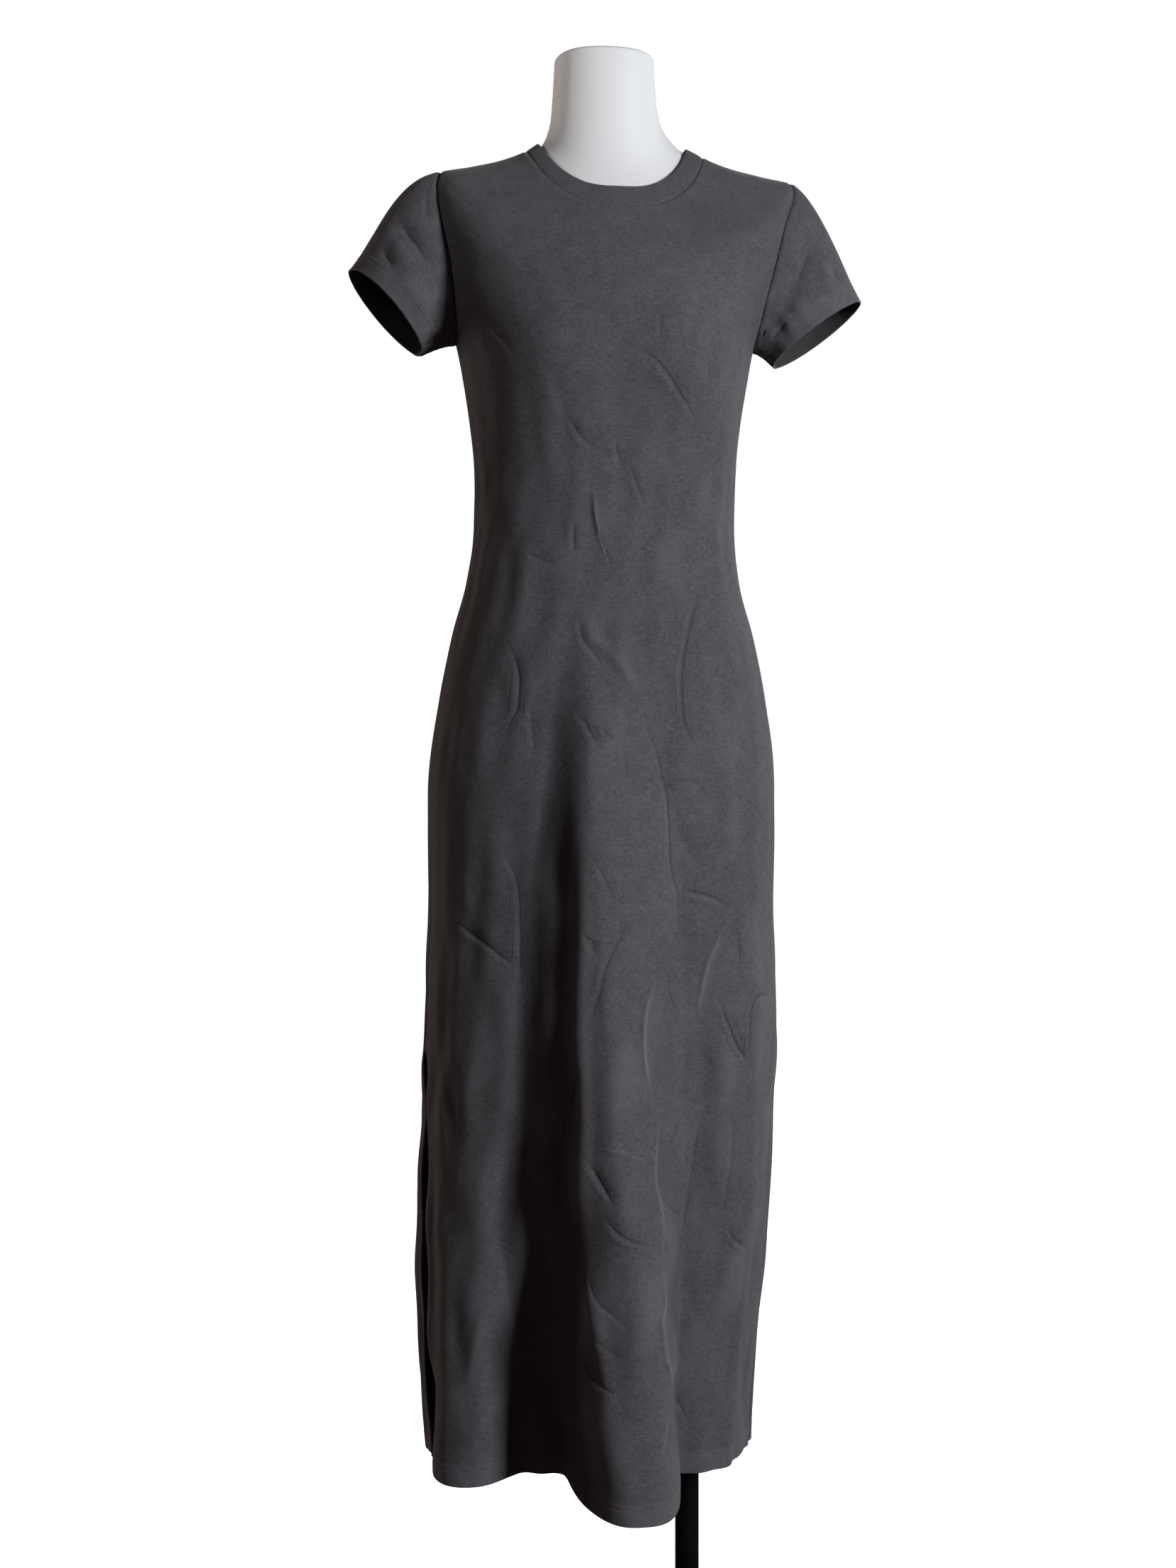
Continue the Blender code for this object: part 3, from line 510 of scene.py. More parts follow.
def crease_relief(points, creases, place, facing):
    """Height that the creases add at each point, the distance from the nearest line in
    millimetres, + on one side and - on the other, and how strong that line is."""
    total, strength = np.zeros(len(points)), np.zeros(len(points))
    nearest = np.full(len(points), LINE_REACH)
    for _, depth, width, lean, knots in creases:
        first, second = smooth_line(knots)
        line, out = place(first, second), facing(first, second)
        reach = width * CREASE_REACH
        low, high = line.min(axis=0) - reach, line.max(axis=0) + reach
        near = np.flatnonzero(np.all((points > low) & (points < high), axis=1))
        if not len(near):
            continue
        start, step = line[:-1], np.diff(line, axis=0)
        lengths = np.linalg.norm(step, axis=1)
        offset = points[near][:, None] - start[None]
        share = np.clip((offset * step).sum(-1) / lengths**2, 0, 1)
        away = offset - share[..., None] * step
        distance = np.linalg.norm(away, axis=-1)
        best = distance.argmin(axis=1)
        rows = np.arange(len(near))
        along = (np.cumsum(lengths)[best] - lengths[best] * (1 - share[rows, best])) / lengths.sum()
        side = np.sign((np.cross(step[best], away[rows, best]) * out[best]).sum(-1))
        apart = side * distance[rows, best]
        s = apart / width
        shape = np.exp(-(s**2)) + lean * s * np.exp(-((s / LEAN_SPREAD) ** 2))
        fade = ease_in(along / CREASE_FADE) * ease_in((1 - along) / CREASE_FADE)
        total[near] += depth * shape * fade
        if width > BROAD_CREASE:
            continue
        closer = np.abs(apart) < np.abs(nearest[near])
        nearest[near[closer]] = apart[closer]
        strength[near[closer]] = (depth * fade)[closer]
    return total, nearest, strength


# %% Fine unevenness
WAVE_SEED = 7
WAVE_COUNT = 36
WAVE_CYCLES = (7, 34)
WAVE_LENGTHS = (70, 420)
WAVE_HEIGHTS = (HEM_HEIGHT, 500, 840, 985, 1095, 1190, 1265, NECK_SEAM_LEVEL)
WAVE_DEPTHS = (1.3, 1.2, 0.45, 0.6, 0.8, 0.35, 0.25, 0.2)


def soft_waves(angle, level):
    """Slow uneven waves of the jersey, the same on each run and closed round the body."""
    chance = np.random.default_rng(WAVE_SEED)
    total = np.zeros(np.broadcast(angle, level).shape)
    for _ in range(WAVE_COUNT):
        cycles = chance.integers(*WAVE_CYCLES)
        length = chance.uniform(*WAVE_LENGTHS) * chance.choice((-1, 1))
        phase = chance.uniform(0, 2 * math.pi)
        wave = np.sin(np.radians(angle) * cycles + level / length * 2 * math.pi + phase)
        total = total + wave * WAVE_CYCLES[0] / cycles
    return total * smooth_table(WAVE_HEIGHTS, WAVE_DEPTHS, level) / 2


# %% [markdown]
# ## From a grid of points to a sheet of cloth
#
# Cloth has two sides and a rounded edge. The shell builder takes the inner and the outer
# points of a grid and closes them with a half-round rim, so that hems, slit edges and
# seams catch the light as real cut or folded edges do. It also lays a UV map in metres
# along the cloth, which the knit pattern follows.

# %% Shell builder
RIM_STEPS = 3


def grid_normals(grid, closed):
    """Outward normals of a grid whose columns run to the right, seen from outside."""
    if closed:
        across = np.roll(grid, -1, axis=1) - np.roll(grid, 1, axis=1)
    else:
        across = np.gradient(grid, axis=1)
    return unit(np.cross(across, np.gradient(grid, axis=0)))


def border_loops(rows, columns, closed):
    """Indices of the grid's border, anticlockwise seen from outside."""
    at = np.arange(rows * columns).reshape(rows, columns)
    if closed:
        return [at[0], at[-1][::-1]]
    return [np.concatenate([at[0, :-1], at[:-1, -1], at[-1, :0:-1], at[:0:-1, 0]])]


def quads(low, high, closed):
    """Faces between two rows of indices."""
    after_low, after_high = np.roll(low, -1), np.roll(high, -1)
    faces = np.stack([low, after_low, after_high, high], axis=1)
    return faces if closed else faces[:-1]


def arc_lengths(grid, axis):
    """Distance along each row or column of a grid, from its middle."""
    steps = np.linalg.norm(np.diff(grid, axis=axis), axis=-1)
    total = np.cumsum(steps, axis=axis)
    total = np.concatenate([np.zeros_like(np.take(total, [0], axis=axis)), total], axis=axis)
    return total - np.take(total, [total.shape[axis] // 2], axis=axis)


def new_piece(name, points, faces, coordinates, marks, look):
    """A smooth-shaded object from points in millimetres, with its UV map and its marks."""
    mesh = bpy.data.meshes.new(name)
    mesh.from_pydata((points * MM).tolist(), [], [[int(i) for i in face] for face in faces])
    mesh.update()
    mesh.shade_smooth()
    corners = np.zeros(len(mesh.loops), np.int32)
    mesh.loops.foreach_get("vertex_index", corners)
    layer = mesh.uv_layers.new(name="cloth")
    layer.data.foreach_set("uv", (coordinates[corners] * MM).ravel())
    for mark, values in marks.items():
        mesh.attributes.new(mark, "FLOAT", "POINT").data.foreach_set("value", values)
    mesh.materials.append(look)
    made = bpy.data.objects.new(name, mesh)
    bpy.context.collection.objects.link(made)
    return made


def joining_faces(before, after):
    """Faces between two closed loops, where the first may have twice as many points."""
    ratio = len(before) // len(after)
    faces = []
    for k in range(len(after)):
        near = [before[(k * ratio + i) % len(before)] for i in range(ratio, -1, -1)]
        faces.append([after[k], after[(k + 1) % len(after)], *near])
    return faces


def shell(name, inner, outer, closed, marks, look, thin=1):
    """A sheet of cloth between two grids, with a half-round rim.

    With thin=2 the inner side, which is seldom seen, keeps every second row and column.
    """
    rows, columns = outer.shape[:2]
    count = rows * columns
    at = np.arange(count).reshape(rows, columns)
    behind = inner[::thin, ::thin]
    few = np.arange(behind.shape[0] * behind.shape[1]).reshape(behind.shape[:2]) + count
    outside = np.concatenate([quads(at[i], at[i + 1], closed) for i in range(rows - 1)])
    inside = np.concatenate([quads(few[i], few[i + 1], closed) for i in range(len(few) - 1)])
    faces = outside.tolist() + inside[:, ::-1].tolist()
    flat_inner, flat_outer = inner.reshape(-1, 3), outer.reshape(-1, 3)
    points = [flat_outer, behind.reshape(-1, 3)]
    flat = np.stack([arc_lengths(outer, 1), arc_lengths(outer, 0)], axis=-1)
    coordinates = [flat.reshape(-1, 2), flat[::thin, ::thin].reshape(-1, 2)]
    flat = coordinates[0]
    marked = {mark: [grid.ravel(), grid[::thin, ::thin].ravel()] for mark, grid in marks.items()}
    marked["inside"] = [np.zeros(count), np.ones(few.size)]
    total = count + few.size
    inner_loops = border_loops(*few.shape, closed)
    for loop, inner_loop in zip(border_loops(rows, columns, closed), inner_loops):
        out = unit(flat_outer[loop] - flat_inner[loop])
        middle = (flat_outer[loop] + flat_inner[loop]) / 2
        radius = np.linalg.norm(flat_outer[loop] - flat_inner[loop], axis=1)[:, None] / 2
        tangent = np.roll(middle, -1, axis=0) - np.roll(middle, 1, axis=0)
        away = unit(np.cross(unit(tangent), out))
        before = loop
        for step in range(RIM_STEPS):
            turn = math.pi / 2 - math.pi * (step + 1) / (RIM_STEPS + 1)
            points.append(middle + radius * (math.sin(turn) * out + math.cos(turn) * away))
            coordinates.append(flat[loop])
            for mark, grid in marks.items():
                marked[mark].append(grid.ravel()[loop])
            marked["inside"].append(np.zeros(len(loop)))
            after = np.arange(len(loop)) + total
            faces += joining_faces(before, after)
            before = after
            total += len(loop)
        faces += joining_faces(before, inner_loop + count)
    marked = {mark: np.concatenate(values) for mark, values in marked.items()}
    made = new_piece(name, np.concatenate(points), faces, np.concatenate(coordinates), marked, look)
    triangles = sum(len(face) - 2 for face in faces)
    print(f"{name}: {triangles} triangles")
    return made


# %% [markdown]
# ## Shader arithmetic
#
# A material's pattern is arithmetic on positions. Wrapping a socket in a small class lets
# that arithmetic be written as Python expressions, and each operator adds one Math node.

# %% Socket class
class Number:
    """A number that changes over a surface, as a node's output socket."""

    def __init__(self, tree, socket):
        self.tree = tree
        self.socket = socket

    def maths(self, operation, *others, swapped=False):
        terms = (self, *others)
        if swapped:
            terms = terms[::-1]
        made = add_node(self.tree, "ShaderNodeMath", {"operation": operation}, terms)
        return Number(self.tree, made.outputs[0])

    def __add__(self, other):
        return self.maths("ADD", other)

    __radd__ = __add__

    def __sub__(self, other):
        return self.maths("SUBTRACT", other)

    def __rsub__(self, other):
        return self.maths("SUBTRACT", other, swapped=True)

    def __mul__(self, other):
        return self.maths("MULTIPLY", other)

    __rmul__ = __mul__

    def __truediv__(self, other):
        return self.maths("DIVIDE", other)

    def __pow__(self, other):
        return self.maths("POWER", other)


def add_node(tree, kind, settings=None, sockets=()):
    """A node with its settings, then its sockets' values or links, by name or in order."""
    made = tree.nodes.new(kind)
    for name, value in (settings or {}).items():
        setattr(made, name, value)
    pairs = sockets.items() if isinstance(sockets, dict) else enumerate(sockets)
    for name, value in pairs:
        if isinstance(value, Number):
            tree.links.new(value.socket, made.inputs[name])
        elif isinstance(value, bpy.types.NodeSocket):
            tree.links.new(value, made.inputs[name])
        else:
            made.inputs[name].default_value = value
    return made


def new_material(name):
    """An empty material: its tree, its shader and its output."""
    made = bpy.data.materials.new(name)
    made.use_nodes = True
    tree = made.node_tree
    return made, tree, tree.nodes["Principled BSDF"]


# %% [markdown]
# ## The jersey
#
# The dress is a charcoal cotton jersey with a matt, faintly fuzzy face. Under a loupe it
# is columns of small V-shaped loops about 0.8 mm apart. From a metre away only a soft
# heathered grain and a little rubbed lightness on the folded edges are left, so the
# colour stays nearly even and the bump carries the knit. The colour also holds painted
# light: a painted highlight on the ridges of the creases, painted shade in their troughs,
# and painted shade on the cloth's inner side.

# %% Jersey material
JERSEY_COLOUR = (0.109, 0.103, 0.117, 1)
JERSEY_DARK = (0.058, 0.052, 0.057, 1)
# Lighter colour for real rubbed wear on the turned hems and for a painted highlight on ridges
JERSEY_WORN_AND_LIT = (0.165, 0.159, 0.179, 1)
# Near-black colour for painted shade in crease troughs and on the cloth's inner side, and for seam lines
JERSEY_PAINTED_SHADE = (0.028, 0.023, 0.024, 1)
LINE_WIDTH = 1.7
LINE_DEPTH = 0.42
# Painted highlight along the narrow crease lines that are ridges
LINE_HIGHLIGHT = 0.3
# Painted shade along the narrow crease lines that are troughs, and along seams
TROUGH_SHADE = 0.42
INSIDE_SHADE = 0.85
CRUMPLE = 4
WALE = 0.8
COURSE = 0.55
RIB = 1.6


def noise(tree, vector, scale, detail=2.0, roughness=0.5):
    """A noise pattern as a number from 0 to 1."""
    made = add_node(
        tree, "ShaderNodeTexNoise", None,
        {"Vector": vector, "Scale": scale, "Detail": detail, "Roughness": roughness},
    )
    return Number(tree, made.outputs["Fac"])


def mix_colours(tree, share, first, second):
    """A mix of two colours by a share."""
    made = add_node(tree, "ShaderNodeMix", {"data_type": "RGBA"}, {"Factor": share, "A": first, "B": second})
    return made.outputs["Result"]


def stretched(tree, vector, by):
    """A vector multiplied by another, so that a pattern on it runs out into streaks."""
    return add_node(
        tree, "ShaderNodeVectorMath", {"operation": "MULTIPLY"}, (vector, by)
    ).outputs["Vector"]


def mark(tree, name):
    """A number stored on the cloth's points."""
    return Number(tree, add_node(tree, "ShaderNodeAttribute", {"attribute_name": name}).outputs["Fac"])


def jersey(name, wale, tone):
    """Cotton jersey whose wales are this many millimetres apart. Tone 0 is dark, 1 is light."""
    made, tree, surface = new_material(name)
    place = add_node(tree, "ShaderNodeUVMap", {"uv_map": "cloth"}).outputs["UV"]
    solid = add_node(tree, "ShaderNodeTexCoord").outputs["Object"]
    parts = add_node(tree, "ShaderNodeSeparateXYZ", None, {"Vector": place})
    across = Number(tree, parts.outputs["X"]) / (wale * MM)
    along = Number(tree, parts.outputs["Y"]) / (COURSE * MM)
    wave = (across * 2 * math.pi).maths("COSINE")
    loops = ((along + wave * 0.5) * 2 * math.pi).maths("SINE")
    knit = wave * 0.5 + loops * 0.25
    grain = noise(tree, place, 2600, 1.0)
    slub = noise(tree, stretched(tree, place, (1, 0.3, 1)), 620, 2.0, 0.6)
    pick = noise(tree, stretched(tree, place, (0.25, 1, 1)), 560, 2.0, 0.6)
    mottle = noise(tree, solid, 75, 3.0, 0.6)
    cloud = noise(tree, solid, 9, 3.0, 0.55)
    heather = (slub - 0.5) * 1.5 + (pick - 0.5) * 1.3 + (mottle - 0.5) * 0.8 + (cloud - 0.5) * 0.6 + tone
    dull = mix_colours(tree, heather, JERSEY_DARK, JERSEY_COLOUR)
    wear_and_highlight, line, press, inside = (mark(tree, name) for name in ("wear_and_highlight", "line", "press", "inside"))
    core = (line * line * (-1 / LINE_WIDTH**2)).maths("EXPONENT")
    # Painted highlight on ridges, added to the real rubbed wear of the turned edges
    worn_and_highlit = wear_and_highlight + (press * core * LINE_HIGHLIGHT).maths("MAXIMUM", 0.0)
    worn_and_highlit = (worn_and_highlit * (grain * 0.6 + 0.7)).maths("MINIMUM", 1.0)
    colour = mix_colours(tree, worn_and_highlit, dull, JERSEY_WORN_AND_LIT)
    # Painted shade: darker colour along narrow troughs and seam lines
    painted_shade = (press * core * -TROUGH_SHADE).maths("MAXIMUM", 0.0).maths("MINIMUM", 0.7)
    colour = mix_colours(tree, painted_shade, colour, JERSEY_PAINTED_SHADE)
    # Painted shade: the cloth's inner side is made near-black
    colour = mix_colours(tree, inside * INSIDE_SHADE, colour, JERSEY_PAINTED_SHADE)
    sharp = add_node(
        tree, "ShaderNodeBump", None,
        {"Strength": 1.0, "Distance": 0.001, "Height": press * core * LINE_DEPTH},
    )
    height = knit * 0.5 + grain * 0.35 + slub * 0.6 + mottle * CRUMPLE
    bump = add_node(
        tree, "ShaderNodeBump", None,
        {"Strength": 0.35, "Distance": 0.0003, "Height": height, "Normal": sharp.outputs["Normal"]},
    )
    tree.links.new(colour, surface.inputs["Base Color"])
    tree.links.new(bump.outputs["Normal"], surface.inputs["Normal"])
    rough = slub * 0.1 + 0.84
    tree.links.new(rough.socket, surface.inputs["Roughness"])
    surface.inputs["Sheen Weight"].default_value = 0.08
    surface.inputs["Sheen Roughness"].default_value = 0.5
    surface.inputs["Specular IOR Level"].default_value = 0.25
    return made


cloth_look = jersey("charcoal jersey", WALE, 0.5)
rib_look = jersey("charcoal rib", RIB, 0.22)

# %% [markdown]
# ## Rows and columns of a panel
#
# The front and the back are each cut in one piece. Their grid is even over the body and
# closer together near the edges, where the seam dips and the hem turns. The columns stay
# upright, so that a crease keeps its shape down the skirt.

# %% Panel grid
FRONT_ARMHOLE_CUT = 21
BACK_ARMHOLE_CUT = 21
FRONT_SLIT_SHIFT = 19
BACK_SLIT_SHIFT = 7
SLIT_OPENING_POWER = 0.6
FRONT_SLIT_POWER = 0.25
SLIT_EDGE_TUCK = 2
SLIT_TUCK_REACH = 22
EDGE_STEPS = np.array([0, 0.8, 1.7, 2.8, 4.2, 5.8, 7, 8.2, 10, 13])
HEM_STEPS = np.array([0, 1, 2.5, 4.5, 7, 10, 12, 12.8, 13.5, 14.2, 15.2, 16.3, 17, 17.7, 18.6, 20, 23])
NECK_STEPS = np.array([0, 1, 2.2, 3.6, 5.5, 8.5])
FIRST_INNER_COLUMN = 16
BODY_ROWS = 332
FRONT_COLUMNS = 163
BACK_COLUMNS = 131
ARMHOLE_ROWS = 34
SHOULDER_ROWS = 17
SPACING_LEVEL = 330
FRONT_MIDDLE = 60
SIDE_SHARE = 0.55


def armhole_cut(level, cut):
    """How far the armhole has moved a panel's edge round from the side, in degrees."""
    share = (level - ARMPIT_LEVEL) / (SHOULDER_LEVEL - ARMPIT_LEVEL)
    return cut * 2 * math.sqrt(max(0, share * (1 - share)))


def slit_share(level, power=SLIT_OPENING_POWER):
    """0 at the slit's top and above, 1 at the hem."""
    down = (SLIT_TOP_HEIGHT - level) / (SLIT_TOP_HEIGHT - HEM_HEIGHT)
    return float(ease_in(down) ** power)


def panel_edges(level, back):
    """The angles between which a panel runs at a level."""
    cut = armhole_cut(level, BACK_ARMHOLE_CUT if back else FRONT_ARMHOLE_CUT)
    if back:
        return 90 + cut, 270 - cut + BACK_SLIT_SHIFT * slit_share(level)
    return -90 + cut + FRONT_SLIT_SHIFT * slit_share(level, FRONT_SLIT_POWER), 90 - cut


def even_spacing(back, columns):
    """Shares of a panel's angle that give even columns at the knee, fewer of them at the sides."""
    start, end = panel_edges(HEM_HEIGHT, back)
    fine = np.linspace(start, end, 800)
    lengths = np.linalg.norm(np.diff(body_point(fine, SPACING_LEVEL), axis=0), axis=1)
    if not back:
        lengths *= np.where(np.abs(fine[1:]) < FRONT_MIDDLE, 1, SIDE_SHARE)
    along = np.concatenate([[0], np.cumsum(lengths)])
    even = np.interp(np.linspace(0, along[-1], columns), along, fine)
    return (even - start) / (end - start)


def panel_levels():
    """Levels of every row, close together at the hem and the neck seam."""
    turns = np.linspace(0, math.pi, ARMHOLE_ROWS + 1)[1:]
    armhole = ARMPIT_LEVEL + (SHOULDER_LEVEL - ARMPIT_LEVEL) * (1 - np.cos(turns)) / 2
    hem = HEM_HEIGHT + HEM_STEPS
    body = np.linspace(hem[-1], ARMPIT_LEVEL, BODY_ROWS + 1)[1:]
    neck = NECK_SEAM_LEVEL - NECK_STEPS[::-1]
    shoulder = np.linspace(SHOULDER_LEVEL, neck[0], SHOULDER_ROWS + 1)[1:-1]
    return np.concatenate([hem, body, armhole, shoulder, neck])


def panel_row(level, back, spacing):
    """Column angles of one row: fixed steps at each edge and an even share between."""
    start, end = panel_edges(level, back)
    reach = 0.5
    ends = body_point(np.array([start, start + reach, end - reach, end]), level)
    first = np.linalg.norm(ends[1] - ends[0]) / reach
    last = np.linalg.norm(ends[3] - ends[2]) / reach
    inner_start = start + FIRST_INNER_COLUMN / first
    inner_end = end - FIRST_INNER_COLUMN / last
    share = float(ease_in((ARMPIT_LEVEL - level) / (ARMPIT_LEVEL - FOLD_TOP_HEIGHT)))
    plain = np.linspace(0, 1, len(spacing))
    spaced = plain + (spacing - plain) * share
    inner = inner_start + (inner_end - inner_start) * spaced
    return np.concatenate([start + EDGE_STEPS / first, inner, (end - EDGE_STEPS / last)[::-1]])


# %% Distances from seams and edges
SEAM_DIP = 0.85
SEAM_DIP_WIDTH = 1.3
SEAM_RISE = 0.5
SEAM_RISE_PLACE = 4.2
SEAM_RISE_WIDTH = 2.4
SEAM_MARK = 3.2
HEM_DEPTH = 19
HEM_STITCHES = (13.5, 17)
SLIT_STITCHES = (7,)
CHANNEL_DEPTH = 0.28
CHANNEL_WIDTH = 0.75
EDGE_FULLNESS = 0.3
FAR = 1e3


def distances(points, line):
    """Distance of every point from a line of points, in millimetres."""
    if not len(line):
        return np.full(len(points), FAR)
    steps = np.linalg.norm(np.diff(line, axis=0), axis=1)
    along = np.concatenate([[0], np.cumsum(steps)])
    fine = np.linspace(0, along[-1], max(2, int(along[-1] / 0.4)))
    dense = np.stack([np.interp(fine, along, line[:, k]) for k in range(3)], axis=1)
    tree = KDTree(len(dense))
    for i, point in enumerate(dense):
        tree.insert(point, i)
    tree.balance()
    return np.array([tree.find(point)[2] for point in points])


def seam_relief(distance):
    """The dip at a seam and the soft rise over its allowance."""
    dip = SEAM_DIP * np.exp(-((distance / SEAM_DIP_WIDTH) ** 2))
    rise = SEAM_RISE * np.exp(-(((distance - SEAM_RISE_PLACE) / SEAM_RISE_WIDTH) ** 2))
    return rise - dip


def mark_seam(lines, distance):
    """Draws the seam as a line on the cloth, over any crease that runs into it."""
    nearest, strength = lines
    close = distance < SEAM_MARK
    nearest[close] = distance[close]
    strength[close] = -1


def hem_relief(distance, stitches, depth):
    """A turned edge: slightly fuller, with a shallow channel under each row of stitches."""
    full = EDGE_FULLNESS * ease_in((depth - distance) / 2)
    for place in stitches:
        full = full - CHANNEL_DEPTH * np.exp(-(((distance - place) / CHANNEL_WIDTH) ** 2))
    return full


# %% [markdown]
# ## Front and back
#
# Each panel starts as the same surface as its solid. The relief of creases, waves, seams
# and hems is then added along the surface's normal. Where the form fills the dress, the
# cloth can't sink into it, so the relief is held above the ease.

# %% Make the panels
HEM_FOLD = 0.9
FORM_ROOM = 0.8
LAP = 0.15
# Painted highlight on the cloth's ridges, by the height of the relief
RIDGE_HIGHLIGHT = 0.12
WEAR_EDGE = 0.35


def inset_border(grid, closed, radius):
    """Draws a grid's border in, so that its round rim ends at the seam line."""
    normals = grid_normals(grid, closed)
    rows, columns = grid.shape[:2]
    flat, flat_normals = grid.reshape(-1, 3).copy(), normals.reshape(-1, 3)
    for loop in border_loops(rows, columns, closed):
        edge = flat[loop].copy()
        tangent = np.roll(edge, -1, axis=0) - np.roll(edge, 1, axis=0)
        away = unit(np.cross(unit(tangent), flat_normals[loop]))
        flat[loop] = edge - away * radius
    return flat.reshape(grid.shape)


def under_troughs(relief):
    """How far the inner side has to lie lower, so that no narrow trough cuts through it."""
    lowest = relief.copy()
    for down, aside in ((-1, 0), (1, 0), (0, -1), (0, 1), (-1, -1), (1, 1), (-1, 1), (1, -1)):
        lowest = np.minimum(lowest, np.roll(relief, (down, aside), axis=(0, 1)))
    sunk = relief - lowest
    sunk[:2], sunk[-2:], sunk[:, :2], sunk[:, -2:] = 0, 0, 0, 0
    return sunk


def finish_cloth(name, grid, closed, relief, folded_in, look, lines=None, thin=1):
    """Cloth from its inner grid, the height of its relief and the depth of its turnings."""
    grid = inset_border(grid, closed, WALL / 2 - LAP)
    normals = grid_normals(grid, closed)
    outer = grid + normals * WALL
    inner = grid - normals * (folded_in + under_troughs(relief))[..., None]
    # Painted highlight where the relief stands up, and real rubbed wear on the turned hems and slit edges
    wear_and_highlight = np.clip(relief * RIDGE_HIGHLIGHT, 0, 0.3)
    wear_and_highlight = np.maximum(wear_and_highlight, WEAR_EDGE * (folded_in > 0.1) * 0.4)
    marks = {"wear_and_highlight": wear_and_highlight}
    if lines:
        marks["line"], marks["press"] = (values.reshape(wear_and_highlight.shape) for values in lines)
    return shell(name, inner, outer, closed, marks, look, thin), outer


def make_panel(name, back, columns, creases):
    """The front or the back of the dress."""
    spacing = even_spacing(back, columns)
    levels = panel_levels()
    angles = np.array([panel_row(level, back, spacing) for level in levels])
    height = np.repeat(levels[:, None], angles.shape[1], axis=1)
    grid = body_point(angles, height)
    shares = np.array([slit_share(level) for level in levels])
    slit_side = -1 if back else 0
    offset = np.linalg.norm(grid - grid[:, [slit_side]], axis=-1)
    tuck = np.clip(1 - offset / SLIT_TUCK_REACH, 0, 1) ** 2 * shares[:, None] * SLIT_EDGE_TUCK
    grid[..., 0] += -tuck * 0.5 if back else tuck
    flat = grid.reshape(-1, 3)
    normals = body_normal(angles, height).reshape(-1, 3)

    low = levels <= SLIT_TOP_HEIGHT
    slit = grid[low, slit_side]
    seams = [grid[~low, slit_side], grid[:, 0 if back else -1], grid[-1]]
    from_seam = np.min([distances(flat, line) for line in seams], axis=0)
    from_slit, from_hem = distances(flat, slit), distances(flat, grid[0])
    relief, *lines = crease_relief(flat, creases, body_point, body_normal)
    mark_seam(lines, from_seam)
    relief += soft_waves(angles, height).ravel() * ease_in(from_seam / 30 + 0.3)
    room = np.where(height < FORM_BOTTOM_HEIGHT, FAR, section("ease", height) + FORM_ROOM - 0.3)
    relief = np.maximum(relief, -room.ravel()) + seam_relief(from_seam)
    relief += hem_relief(from_hem, HEM_STITCHES, HEM_DEPTH)
    relief += hem_relief(from_slit, SLIT_STITCHES, SLIT_STITCHES[0] + 2)
    grid = (flat + normals * relief[:, None]).reshape(grid.shape)
    turned = np.maximum(ease_in((HEM_DEPTH - from_hem) / 1.5), ease_in((9 - from_slit) / 1.5))
    folded_in = HEM_FOLD * turned.reshape(grid.shape[:2])
    relief = relief.reshape(grid.shape[:2])
    made, outer = finish_cloth(name, grid, False, relief, folded_in, cloth_look, lines, thin=2)
    return made, outer, levels


front, front_outer, panel_heights = make_panel("dress_front", False, FRONT_COLUMNS, FRONT_CREASES)
back, back_outer, _ = make_panel("dress_back", True, BACK_COLUMNS, BACK_CREASES)

# %% [markdown]
# ## Sleeves
#
# A set-in sleeve is a tube sewn into the armhole. Its cap leaves the shoulder nearly level
# and then falls, and its hem is an oval that tilts out. A smooth curve joins each point of
# the armhole to the matching point of the hem, and the creases lie on that tube. Most of
# the front side's crease points were picked in the photo and turned into places on the
# tube before they came here. The back side's were set one by one.

# %% Sleeve surface
SLEEVES = {
    "sleeve_right": {
        "side": -1, "outer": (-238, 1329), "under": (-171, 1254), "cap": 135, "back_drop": 3,
    },
    "sleeve_left": {
        "side": 1, "outer": (252, 1311), "under": (168, 1252), "cap": 72, "back_drop": 7,
    },
}
SLEEVE_HALF_DEPTH = 43
SLEEVE_FRONT_LIFT = 6
SLEEVE_UNDER_REACH = 22
SLEEVE_FALL = 60
SLEEVE_SPREAD = 0.45
SLEEVE_DROP = 0.1
SLEEVE_LIFT = 0.5
SLEEVE_COLUMNS = 220
SLEEVE_ROWS = 36
ARMHOLE_STEPS = np.array([0, 0.8, 1.7, 2.8, 4.2, 6, 8.5])

